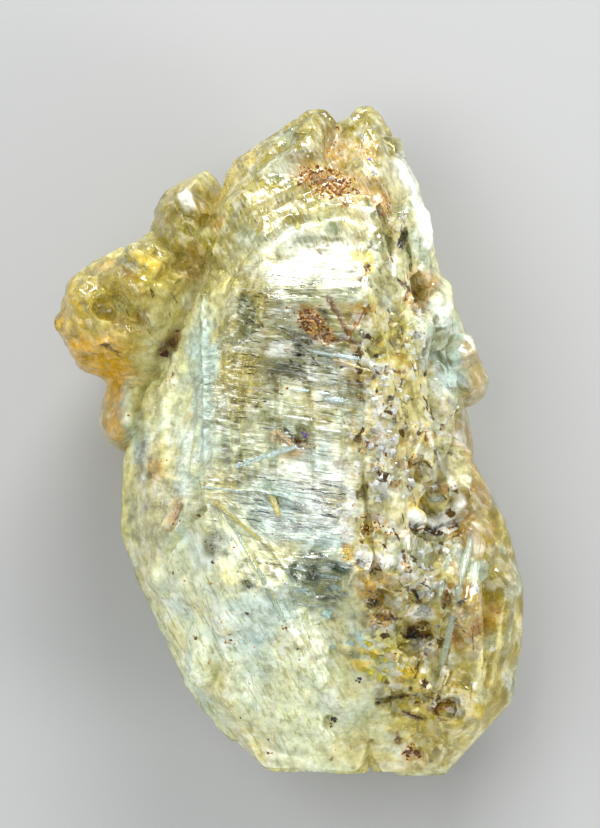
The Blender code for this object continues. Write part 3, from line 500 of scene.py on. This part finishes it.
def split(shape, wanted):
    """Halves every edge that is longer than wanted, and keeps flat areas evenly triangulated."""
    edges = [edge for edge in shape.edges if edge.calc_length() > wanted(edge)]
    bmesh.ops.subdivide_edges(shape, edges=edges, cuts=1, use_grid_fill=True)
    bmesh.ops.triangulate(shape, faces=[face for face in shape.faces if len(face.verts) > 3])
    flat = [edge for edge in shape.edges if len(edge.link_faces) == 2
            and edge.link_faces[0].normal.dot(edge.link_faces[1].normal) > FLAT]
    bmesh.ops.beautify_fill(shape, faces=shape.faces[:], edges=flat)


def fine_edge(edge):
    middle = (edge.verts[0].co + edge.verts[1].co) / 2
    x, y = middle.x / MM, middle.y / MM
    if middle.z < GIRDLE * MM:
        return LOWER_EDGE * MM
    left, right, low, high = FEATURES
    if left < x < right and low < y < high:
        return FEATURE_EDGE * MM
    return UPPER_EDGE * MM


def fine_copy(source):
    """The CAD solid's surface in small triangles, finer on its upper side."""
    shape = bmesh.new()
    shape.from_mesh(source)
    bmesh.ops.remove_doubles(shape, verts=shape.verts[:], dist=1e-8)
    bmesh.ops.triangulate(shape, faces=shape.faces[:])
    for size in (3.2, 1.6, 0.8):
        split(shape, lambda _edge, size=size: size * MM)
    for _round in range(3):
        split(shape, fine_edge)
    mesh = bpy.data.meshes.new("crystal")
    shape.to_mesh(mesh)
    shape.free()
    return mesh


def regions(points, normals):
    """The shares of growth lines, rough sugar, slanting strokes, lobes and the worn lower end."""
    up = eased(normals[:, 2] * 2 + 0.3)
    under = 1 - eased(normals[:, 2] * 3 + 1)
    prism = eased((0.75 - np.abs(normals @ AXIS)) / 0.3)
    middle = ellipse(points, *MIDDLE) * up
    right = ellipse(points, *RIGHT) * eased(0.75 + layered(points, 1, 15, 2) * 0.9)
    top = ellipse(points, *TOP) * (1 - 0.7 * middle)
    lobes, lower = ellipse(points, *LOBES), ellipse(points, *LOWER)
    hollow = ellipse(points, *HOLLOW) * under
    flank, window = ellipse(points, *FLANK) * up, ellipse(points, *WINDOW) * up
    broken = 0.55 + 0.45 * noise(points, 0.7, 17)
    lines = np.clip(0.04 + middle + 0.35 * flank + hollow + 0.5 * (1 - up), 0, 1)
    lines *= np.maximum(prism, window) * (1 - 0.7 * right) * (1 - lobes) * broken
    sugar = np.clip(0.04 + right + 0.22 * top + 0.15 * middle, 0, 1) * (1 - 0.8 * lobes)
    sugar *= (1 - 0.85 * lower) * (0.3 + 0.7 * up)
    strokes = np.clip(0.8 * top + 0.5 * lobes + 0.8 * lower, 0, 1)
    return lines, sugar, strokes, lobes, lower


def relief(points, normals, kinds):
    """How far each point of the surface stands out, in millimetres."""
    lines, sugar, _strokes, lobes, lower = kinds
    drawn = np.stack([points @ AXIS, points @ ACROSS / DRAWN_OUT, points[:, 2] / DRAWN_OUT], axis=1)
    grown = layered(drawn, 0.34, 11)
    steps = np.abs(grown * 2.5 % 2 - 1) - 0.5
    height = (grown * 0.07 + steps * 0.05) * lines
    height += chips(points, 0.8, 21) * 0.26 * sugar
    height += chips(points, 0.34, 31) * 0.12 * sugar
    height += chips(points, 1.1, 25) * (0.12 * lobes + 0.1 * lower)
    height += chips(points, 0.45, 27) * (0.14 * lobes + 0.07 * lower)
    height += layered(points, 1.5, 41) * 0.04
    height += layered(points, 0.4, 51, 2) * 0.012
    upper = eased(points[:, 2] - GIRDLE) * eased(normals[:, 2] * 3)
    ragged = points + shifts(noise, points, 0.4, 64) * 0.14
    for *spot, _colour, _strength, _clear, depth in MARKS:
        if depth:
            height -= ellipse(ragged, *spot, 0.25, 3) * upper * depth
    for line, width, _colour in CRACKS:
        height -= eased(1.4 - along_line(points, line) / width) * upper * 0.06
    for line, half, _colour, _strength, _clear, rise in BANDS:
        share = eased(1.3 - along_line(points, line) / half) * upper
        height = height * (1 - 0.6 * share) + share * rise
    return height


def worn(mesh, points, share):
    """The points with the edges between faces rounded off, most where the share is high."""
    ends = np.empty(len(mesh.edges) * 2, dtype=np.int64)
    mesh.edges.foreach_get("vertices", ends)
    first, second = ends[0::2], ends[1::2]
    count = np.bincount(ends, minlength=len(points))
    for _round in range(WEAR_ROUNDS):
        middle = np.empty_like(points)
        for axis in range(3):
            middle[:, axis] = np.bincount(first, points[second, axis], len(points))
            middle[:, axis] += np.bincount(second, points[first, axis], len(points))
        points = points + (middle / count[:, None] - points) * share[:, None]
    return points


def surface_of(mesh):
    points = np.empty(len(mesh.vertices) * 3)
    mesh.vertices.foreach_get("co", points)
    return points.reshape(-1, 3) / MM, np.array([vertex.normal for vertex in mesh.vertices])


def move(mesh, points):
    mesh.vertices.foreach_set("co", (points * MM).ravel())
    mesh.update()


def carve(mesh):
    """Wears the edges and moves the surface by its relief, but not below the floor."""
    points, normals = surface_of(mesh)
    lines, _sugar, _strokes, lobes, lower = regions(points, normals)
    share = np.clip(0.1 + 0.1 * lobes + 0.4 * lower, 0, 0.8) * (1 - 0.7 * lines)
    for spot in WORN:
        share = np.maximum(share, 0.85 * ellipse(points, *spot))
    move(mesh, worn(mesh, points, share * eased((points[:, 2] - 0.3) / 0.6)))
    points, normals = surface_of(mesh)
    kinds = regions(points, normals)
    foot = eased((0.35 - points[:, 2]) / 0.3)
    moved = points + normals * (relief(points, normals, kinds) * (1 - foot))[:, None]
    moved[:, 2] = np.maximum(moved[:, 2], 0)
    move(mesh, moved)
    return moved, normals, kinds


class Coat:
    """The tint and the clearness of every point, as one layer after another covers them."""

    def __init__(self, tint, clear):
        self.tint, self.clear = np.tile(tint, (len(clear), 1)), clear

    def cover(self, share, colour, clearness=None):
        self.tint = self.tint + (colour - self.tint) * share[:, None]
        if clearness is not None:
            self.clear += (clearness - self.clear) * share


def colours(points, normals, kinds):
    """Tint, clearness, roughness and staining of every point."""
    _lines, sugar, _strokes, lobes, lower = kinds
    wander, fine = shifts(layered, points, 0.9, 61), shifts(layered, points, 0.32, 64, 2)
    loose = points + wander * 0.45 + fine * 0.12
    near = points + wander * 0.1 + fine * 0.1
    side = 1 - eased(normals[:, 2] * 2 + 0.3)
    calm = 1 - 0.6 * side
    coat = Coat(MILK, 0.52 + layered(points, 1.1, 71) * 0.2)
    coat.cover(eased((7.6 - points[:, 2]) / 2.6) * 0.46, STRAW)
    for *spot, colour, strength, clearness in ZONES:
        share = ellipse(loose, *spot, 0.4) * strength * (0.4 + 0.6 * calm)
        coat.cover(share, colour, clearness)

    # Warm and cold clouds, pale veins and dull patches
    warm = layered(loose, 1.2, 83) * 1.6
    coat.cover(eased(warm) * 0.6 * (1 - 0.6 * lobes) * calm, CREAM)
    coat.cover(eased(-warm) * 0.5 * (1 - lobes) * calm, ICE)
    pale = eased(1 - np.abs(layered(points + fine * 0.3, 1.4, 74)) * 6) * 0.45
    dull = eased(layered(points, 0.9, 77) * 2 - 0.3) * 0.22 * (1 - 0.8 * lower)
    coat.cover(np.clip(pale * ((1 - 0.6 * lobes) * calm), 0, 1), WHITE)
    coat.cover(dull * calm, KHAKI)
    coat.clear += dull * 0.3 - pale * 0.2 + 0.14 * side

    upper = eased(points[:, 2] - GIRDLE) * eased(normals[:, 2] * 3 + 0.5)
    patchy = 0.82 + 0.18 * noise(points, 0.22, 99)
    for *spot, colour, strength, clearness, _depth in MARKS:
        share = ellipse(near, *spot, 0.3, 3) * strength * upper * patchy
        coat.cover(share, colour, clearness)
    for line, half, colour, strength, clearness, _rise in BANDS:
        share = eased(1.4 - along_line(points, line) / half) * strength * upper
        coat.cover(share, colour, clearness)
    for line, width, colour in CRACKS:
        coat.cover(eased(1.5 - along_line(near, line) / width) * upper, colour, 0.25)
    stain = 0.02 + 0.26 * sugar + 0.1 * layered(points, 1.6, 95)
    for x, y, wide, high, turn, _count, _size, colour in GRAINS:
        if colour is RUST or colour is ORANGE or colour is BROWN:
            stain += ellipse(near, x, y, wide + 0.25, high + 0.25, turn, 0.5) * 0.4 * upper
    rough = 0.08 + layered(points, 0.7, 91) * 0.05 + (0.6 - coat.clear) * 0.16 + 0.03 * sugar
    return {"tint": coat.tint, "clear": np.clip(coat.clear, 0, 0.95),
            "rough": np.clip(rough, 0.04, 0.6), "stain": np.clip(stain, 0, 1)}


def store(mesh, name, values):
    kind, field = "FLOAT", "value"
    if values.ndim == 2:
        kind, field = "FLOAT_COLOR", "color"
        values = np.concatenate([values, np.ones((len(values), 1))], axis=1)
    layer = mesh.attributes.new(name, kind, "POINT")
    layer.data.foreach_set(field, values.astype(np.float32).ravel())


class Look:
    """A material, and short ways to add nodes to it and to join them."""

    def __init__(self, name):
        self.material = bpy.data.materials.new(name)
        self.material.use_nodes = True
        self.tree = self.material.node_tree
        self.shader = self.tree.nodes["Principled BSDF"].inputs

    def plug(self, value, socket):
        if isinstance(value, bpy.types.NodeSocket):
            self.tree.links.new(value, socket)
        else:
            socket.default_value = value

    def add(self, kind, output, inputs, **settings):
        made = self.tree.nodes.new("ShaderNode" + kind)
        for name, value in settings.items():
            setattr(made, name, value)
        for name, value in inputs.items():
            self.plug(value, made.inputs[name])
        return made.outputs[output] if output is not None else made.outputs

    def attribute(self, name, output="Fac"):
        return self.add("Attribute", output, {}, attribute_name=name)

    def noise(self, spot, scale, detail, roughness=0.5):
        return self.add("TexNoise", "Fac", {
            "Vector": spot, "Scale": scale, "Detail": detail, "Roughness": roughness})

    def stretched(self, spot, turn, scale):
        """Coordinates turned about Z and then stretched."""
        turned = self.add("Mapping", 0, {"Vector": spot, "Rotation": (0, 0, turn)})
        return self.add("Mapping", 0, {"Vector": turned, "Scale": scale})

    def ramp(self, value, low, high, lowest=0, highest=1):
        return self.add("MapRange", "Result", {
            "Value": value, "From Min": low, "From Max": high, "To Min": lowest, "To Max": highest})

    def math(self, operation, first, second, clamp=False):
        return self.add("Math", 0, {0: first, 1: second}, operation=operation, use_clamp=clamp)

    def times(self, first, second, clamp=False):
        return self.math("MULTIPLY", first, second, clamp)

    def plus(self, first, second):
        return self.math("ADD", first, second)

    def scaled(self, colour, factor):
        return self.add("VectorMath", "Vector", {0: colour, "Scale": factor}, operation="SCALE")

    def mixed(self, share, first, second):
        mix = self.tree.nodes.new("ShaderNodeMix")
        mix.data_type = "RGBA"
        if isinstance(second, np.ndarray):
            second = (*second, 1)
        values = {"Factor_Float": share, "A_Color": first, "B_Color": second}
        for socket in mix.inputs:
            if socket.identifier in values:
                self.plug(values[socket.identifier], socket)
        return next(one for one in mix.outputs if one.identifier == "Result_Color")

    def bump(self, height, strength, distance):
        normal = self.add("Bump", "Normal", {
            "Height": height, "Strength": strength, "Distance": distance})
        self.plug(normal, self.shader["Normal"])


def quartz_material():
    """Clear to milky quartz; the points' attributes say where each kind of growth is."""
    look = Look("quartz")
    ramp, times, plus, plug = look.ramp, look.times, look.plus, look.plug
    metres = look.add("TexCoord", "Object", {})
    spot = look.add("Mapping", "Vector", {"Vector": metres, "Scale": (1000, 1000, 1000)})
    tint = look.attribute("tint", "Color")
    clear, rough, lines, sugar, strokes, stain = (
        look.attribute(name) for name in ("clear", "rough", "lines", "sugar", "strokes", "stain"))
    growth = look.noise(look.stretched(spot, LEAN, (1.2, 8, 2.5)), 1, 2, 0.7)
    stroke = look.noise(look.stretched(spot, math.radians(62), (1.6, 8, 3)), 1, 1, 0.6)
    grain = look.noise(spot, 7, 1, 0.62)
    cloud = look.noise(spot, 2, 3, 0.62)
    cells = look.add("TexVoronoi", None, {"Vector": spot, "Scale": 3.6})
    chance = look.add("SeparateColor", None, {"Color": cells["Color"]})

    def patches(value, low, high, kind, most=1):
        """Where a value passes from low to high, on one kind of surface."""
        return times(ramp(value, low, high, 0, most), kind)

    # Colour: cloudy, then lines, strokes, sugar and iron specks over the tint
    mottle = plus(ramp(cloud, 0.3, 0.7, 0.88, 1.08), ramp(grain, 0.3, 0.7, -0.1, 0.1))
    spread = ramp(sugar, 0, 1, 0.12, 0.45)
    pale_line = patches(growth, 0.56, 0.62, lines)
    dark_line = patches(growth, 0.42, 0.35, lines)
    dark_cell = times(patches(chance["Blue"], 0.8, 0.9, sugar),
                      ramp(cloud, 0.56, 0.46, 0, 1.2), True)
    specks = plus(plus(times(grain, 0.6), times(cloud, 0.4)), times(stain, 0.2))
    colour = look.scaled(tint, mottle)
    for share, over in (
            (patches(cloud, 0.54, 0.64, spread), WHITE),
            (patches(cloud, 0.46, 0.36, spread), KHAKI * 0.7),
            (pale_line, WHITE),
            (times(dark_line, 0.85), look.scaled(tint, 0.2)),
            (patches(stroke, 0.58, 0.68, strokes, 0.7), WHITE),
            (patches(stroke, 0.42, 0.34, strokes, 0.6), OLIVE * 0.5),
            (patches(chance["Red"], 0.7, 0.8, sugar, 0.8), WHITE),
            (patches(chance["Green"], 0.8, 0.95, sugar, 0.7), OCHRE),
            (dark_cell, UMBER * 0.7),
            (ramp(specks, 0.62, 0.7, 0, 0.7), OCHRE),
            (ramp(specks, 0.69, 0.73), BROWN)):
        colour = look.mixed(share, colour, over)
    plug(colour, look.shader["Base Color"])

    # Clearness and roughness
    weight = plus(plus(clear, times(dark_line, 0.3)), times(pale_line, -0.5))
    weight = plus(weight, ramp(cloud, 0.3, 0.7, 0.22, -0.22))
    opaque = ramp(specks, 0.66, 0.72, 0, 0.9)
    plug(look.math("SUBTRACT", weight, opaque, True), look.shader["Transmission Weight"])
    plug(times(rough, ramp(grain, 0.3, 0.7, 0.5, 1.5)), look.shader["Roughness"])

    # Relief in millimetres: growth lines, tilted facets and strokes
    offset = look.add("VectorMath", "Vector", {0: spot, 1: cells["Position"]}, operation="SUBTRACT")
    tilt = look.add("VectorMath", "Vector", {0: cells["Color"], 1: (0.5, 0.5, 0.5)},
                    operation="SUBTRACT")
    facet = look.add("VectorMath", "Value", {0: offset, 1: tilt}, operation="DOT_PRODUCT")
    height = plus(times(times(growth, lines), 0.1), times(times(facet, sugar), 0.25))
    look.bump(plus(height, times(times(stroke, strokes), 0.05)), 1, MM)
    look.shader["IOR"].default_value = QUARTZ_IOR
    absorption = look.add("VolumeAbsorption", "Volume", {
        "Color": (0.94, 0.9, 0.6, 1), "Density": 35})
    plug(absorption, look.tree.nodes["Material Output"].inputs["Volume"])
    return look.material


def small_material(name, roughness, transmission):
    look = Look(name)
    grain = look.noise(look.add("TexCoord", "Object", {}), 14000, 3)
    tint = look.scaled(look.attribute("tint", "Color"), look.ramp(grain, 0.3, 0.7, 0.7, 1.25))
    look.plug(tint, look.shader["Base Color"])
    spread = look.ramp(grain, 0.3, 0.7, roughness * 0.7, roughness * 1.3)
    look.plug(spread, look.shader["Roughness"])
    look.bump(grain, 0.6, 0.02 * MM)
    look.shader["IOR"].default_value = QUARTZ_IOR if transmission else IRON_IOR
    look.shader["Transmission Weight"].default_value = transmission
    return look.material


def show(name, data):
    made = bpy.data.objects.new(name, data)
    bpy.context.scene.collection.objects.link(made)
    return made


def build_crystal():
    """The dressed crystal, and its surface as a tree to lay small bodies on."""
    mesh = fine_copy(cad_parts["quartz_crystal"].data)
    points, normals, kinds = carve(mesh)
    layers = colours(points, normals, kinds)
    layers.update(zip(("lines", "sugar", "strokes"), kinds))
    for name, values in layers.items():
        store(mesh, name, values)
    mesh.shade_smooth()
    mesh.set_sharp_from_angle(angle=CREASE)
    mesh.materials.append(quartz_material())
    crystal = show("crystal", mesh)
    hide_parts("quartz_crystal")
    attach(crystal, "root")
    triangles = [tuple(face.vertices) for face in mesh.polygons]
    return BVHTree.FromPolygons([tuple(point) for point in points], triangles)


class Piece:
    """One joined mesh of many small bodies, with a tint at every corner."""

    def __init__(self):
        self.points, self.faces, self.tints = [], [], []

    def add(self, points, faces, tint):
        first = len(self.points)
        self.points += [tuple(point) for point in points]
        self.faces += [tuple(first + index for index in face) for face in faces]
        self.tints += [tint] * len(points)

    def finish(self, name, material):
        mesh = bpy.data.meshes.new(name)
        mesh.from_pydata([Vector(point) * MM for point in self.points], [], self.faces)
        shape = bmesh.new()
        shape.from_mesh(mesh)
        bmesh.ops.recalc_face_normals(shape, faces=shape.faces[:])
        shape.to_mesh(mesh)
        shape.free()
        store(mesh, "tint", np.array(self.tints))
        mesh.materials.append(material)
        made = show(name, mesh)
        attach(made, "root")


def skin(tree, x, y):
    """Height and normal of the crystal's upper surface over a place."""
    spot, normal, _index, _distance = tree.ray_cast(Vector((x, y, OVERHEAD)), Vector((0, 0, -1)))
    return (None, None) if spot is None else (spot.z, normal)


def tube(rings, sides):
    """Faces around rings of points, and over both ends."""
    faces = [tuple(range(sides - 1, -1, -1))]
    for low in range(0, (rings - 1) * sides, sides):
        for corner in range(sides):
            after = (corner + 1) % sides
            faces.append((low + corner, low + after, low + sides + after, low + sides + corner))
    return faces + [tuple(range((rings - 1) * sides, rings * sides))]


def between(first, second, part):
    return [start + (end - start) * part for start, end in zip(first, second)]


def ribbon(piece, tree, line, width, tint, dice, wave=0.25):
    """A thin ragged film that follows the surface along a line."""
    places = []
    for first, second in zip(line[:-1], line[1:]):
        count = max(1, round(math.dist(first, second) / FILM_SPACING))
        places += [between(first, second, index / count) for index in range(count)]
    places.append(line[-1])
    rings = []
    drift = 0
    for index, (x, y) in enumerate(places):
        before, after = places[max(index - 1, 0)], places[min(index + 1, len(places) - 1)]
        way = Vector((after[0] - before[0], after[1] - before[1]))
        if way.length == 0:
            return
        side = Vector((-way.y, way.x)).normalized()
        drift = drift * 0.7 + dice.uniform(-wave, wave) * width
        part = index / (len(places) - 1)
        taper = min(1, part * 5 + 0.25, (1 - part) * 5 + 0.25)
        half = width * 0.5 * taper * dice.uniform(0.6, 1.25)
        ring = []
        for shift, lift in ((-1, -0.015), (0, FILM_RISE), (1, -0.015), (0, -0.05)):
            px, py = x + side.x * (drift + shift * half), y + side.y * (drift + shift * half)
            height, _normal = skin(tree, px, py)
            if height is None:
                return
            ring.append((px, py, height + lift))
        if rings and abs(ring[1][2] - rings[-1][1][2]) > DROP:
            break
        ridge = max(ring[1][2], (ring[0][2] + ring[2][2]) / 2 + FILM_RISE)
        ring[1] = (ring[1][0], ring[1][1], ridge)
        rings.append(ring)
    if len(rings) > 1:
        piece.add([point for ring in rings for point in ring], tube(len(rings), 4), tint)


def blade(piece, tree, start, end, width, thickness, tint):
    """A slim crystal that lies straight on the surface, thinner towards both ends."""
    parts = np.linspace(0, 1, BLADE_SAMPLES)
    heights = [skin(tree, *between(start, end, part))[0] for part in parts]
    if None in heights:
        return
    rise, low = np.polyfit(parts, heights, 1)
    lift = 0.9 * float(np.std(np.array(heights) - np.polyval((rise, low), parts)))
    first = Vector((start[0], start[1], low + lift))
    way = Vector((end[0], end[1], low + rise + lift)) - first
    side = way.cross(Vector((0, 0, 1))).normalized()
    over = side.cross(way).normalized()
    points = []
    for part, share in BLADE_RINGS:
        for corner in range(BLADE_SIDES):
            angle = math.tau * corner / BLADE_SIDES
            points.append(first + way * part + side * (math.cos(angle) * width * 0.5 * share)
                          + over * (math.sin(angle) * width * 0.5 * share * thickness))
    piece.add(points, tube(len(BLADE_RINGS), BLADE_SIDES), tint)


def shell_points(kind):
    shape = bmesh.new()
    if kind == "grain":
        bmesh.ops.create_icosphere(shape, subdivisions=1, radius=0.5)
    else:
        bmesh.ops.create_cone(shape, cap_ends=True, segments=4, radius1=0.55, radius2=0.34,
                              depth=0.4)
    points = [vertex.co.copy() for vertex in shape.verts]
    faces = [[vertex.index for vertex in face.verts] for face in shape.faces]
    shape.free()
    return points, faces


def scatter(piece, tree, fields, kind, dice):
    """Small bodies, half sunk in the upper surface, over each field."""
    shell, faces = shell_points(kind)
    sizes = GRAIN_SIZES if kind == "grain" else CHIP_SIZES
    for middle_x, middle_y, wide, high, turn, count, size, colour in fields:
        angle = math.radians(turn)
        for _index in range(count):
            radius, around = math.sqrt(dice.random()), dice.uniform(0, math.tau)
            u, v = radius * math.cos(around) * wide, radius * math.sin(around) * high
            x = middle_x + u * math.cos(angle) - v * math.sin(angle)
            y = middle_y + u * math.sin(angle) + v * math.cos(angle)
            height, normal = skin(tree, x, y)
            if height is None:
                continue
            own = size * dice.uniform(*sizes)
            stretch = Vector([dice.uniform(*span) for span in STRETCH])
            turned = Matrix.Rotation(dice.uniform(0, math.tau), 3, "Z")
            if kind == "chip":
                turned = Matrix.Rotation(dice.gauss(0, 0.45), 3, "X") @ turned
                turned = Matrix.Rotation(dice.gauss(0, 0.45), 3, "Y") @ turned
            else:
                turned = Matrix.Rotation(dice.uniform(-0.9, 0.9), 3, "X") @ turned
            middle = Vector((x, y, height))
            points = []
            for point in shell:
                local = turned @ (point * dice.uniform(0.6, 1.35) * stretch) * own
                points.append(middle + local + normal * own * 0.15)
            piece.add(points, faces, np.clip(colour * dice.uniform(0.65, 1.25), 0, 0.95))


def build_iron(tree, dice):
    material = small_material("iron_oxide", 0.45, 0)
    films, grains = Piece(), Piece()
    for line, width, colour in CRACKS:
        ribbon(films, tree, line, width, colour, dice, wave=0.5)
    films.finish("iron_films", material)
    scatter(grains, tree, GRAINS, "grain", dice)
    grains.finish("iron_grains", material)


def build_quartz(tree, dice):
    """The shards, the blades and the edges of the growth steps."""
    material = small_material("quartz_chip", 0.1, 0.6)
    shards, blades, steps = Piece(), Piece(), Piece()
    scatter(shards, tree, CHIPS, "chip", dice)
    shards.finish("quartz_chips", material)
    for x0, y0, x1, y1, width, thickness, colour in BLADES:
        blade(blades, tree, (x0, y0), (x1, y1), width, thickness, colour)
    blades.finish("quartz_blades", small_material("quartz_blade", 0.08, 0.75))
    for x, y, wide, high, slant, count, length, width, colour in STEPS:
        for _index in range(count):
            middle = x + dice.uniform(-1, 1) * wide, y + dice.uniform(-1, 1) * high
            own = length * dice.uniform(0.35, 1.1)
            slope = math.radians(slant) + dice.gauss(0, 0.06 if slant > -12 else 0.22)
            bow = dice.uniform(-0.05, 0.05) * own
            line = [(middle[0] + math.cos(slope) * own * part,
                     middle[1] + math.sin(slope) * own * part + (bow if part == 0 else 0))
                    for part in (-0.5, 0, 0.5)]
            shade = np.clip(colour * dice.uniform(0.75, 1.1), 0, 0.95)
            ribbon(steps, tree, line, width * dice.uniform(0.6, 1.5), shade, dice)
    for ray in range(FAN_RAYS):
        part = (ray + dice.uniform(-0.3, 0.3)) / (FAN_RAYS - 1)
        slope = math.radians(FAN_SPAN[0] + (FAN_SPAN[1] - FAN_SPAN[0]) * part)
        near, far = dice.uniform(0.3, 1.2), dice.uniform(1.8, 5)
        line = [(FAN_START[0] + math.cos(slope) * reach, FAN_START[1] + math.sin(slope) * reach)
                for reach in (near, (near + far) / 2, far)]
        shade = np.clip(WHITE * dice.uniform(0.6, 1), 0, 0.95)
        ribbon(steps, tree, line, dice.uniform(0.03, 0.06), shade, dice)
    steps.finish("growth_steps", material)


def build_floor():
    mesh = bpy.data.meshes.new("floor")
    far = FLOOR_HALF
    corners = [(-far, -far, 0), (far, -far, 0), (far, far, 0), (-far, far, 0)]
    mesh.from_pydata(corners, [], [(0, 1, 2, 3)])
    look = Look("floor")
    look.shader["Base Color"].default_value = FLOOR_COLOUR
    look.shader["Roughness"].default_value = 0.85
    mesh.materials.append(look.material)
    floor = show("floor", mesh)


def build_studio():
    world = bpy.data.worlds.new("studio")
    bpy.context.scene.world = world
    world.use_nodes = True
    backdrop = world.node_tree.nodes["Background"].inputs
    backdrop["Color"].default_value = SKY
    backdrop["Strength"].default_value = SKY_STRENGTH
    for name, place, size, watts in LAMPS:
        data = bpy.data.lights.new(name, "AREA")
        data.shape = "RECTANGLE"
        data.size, data.size_y = size[0] * MM, size[1] * MM
        data.energy = watts
        lamp = show(name, data)
        lamp.location = Vector(place) * MM
        lamp.rotation_euler = (Vector(place) - AIM).to_track_quat("Z", "Y").to_euler()


def build_camera():
    data = bpy.data.cameras.new("camera")
    data.sensor_fit = "VERTICAL"
    data.sensor_height = SENSOR
    data.lens = LENS
    data.clip_start = 0.001
    data.clip_end = 10
    camera = show("camera", data)
    camera.location = (AIM + Vector((0, 0, CAMERA_HEIGHT))) * MM
    bpy.context.scene.camera = camera


surface = build_crystal()
build_iron(surface, random.Random(5))
build_quartz(surface, random.Random(9))
build_floor()
build_studio()
build_camera()
bpy.context.scene.view_settings.view_transform = "Standard"
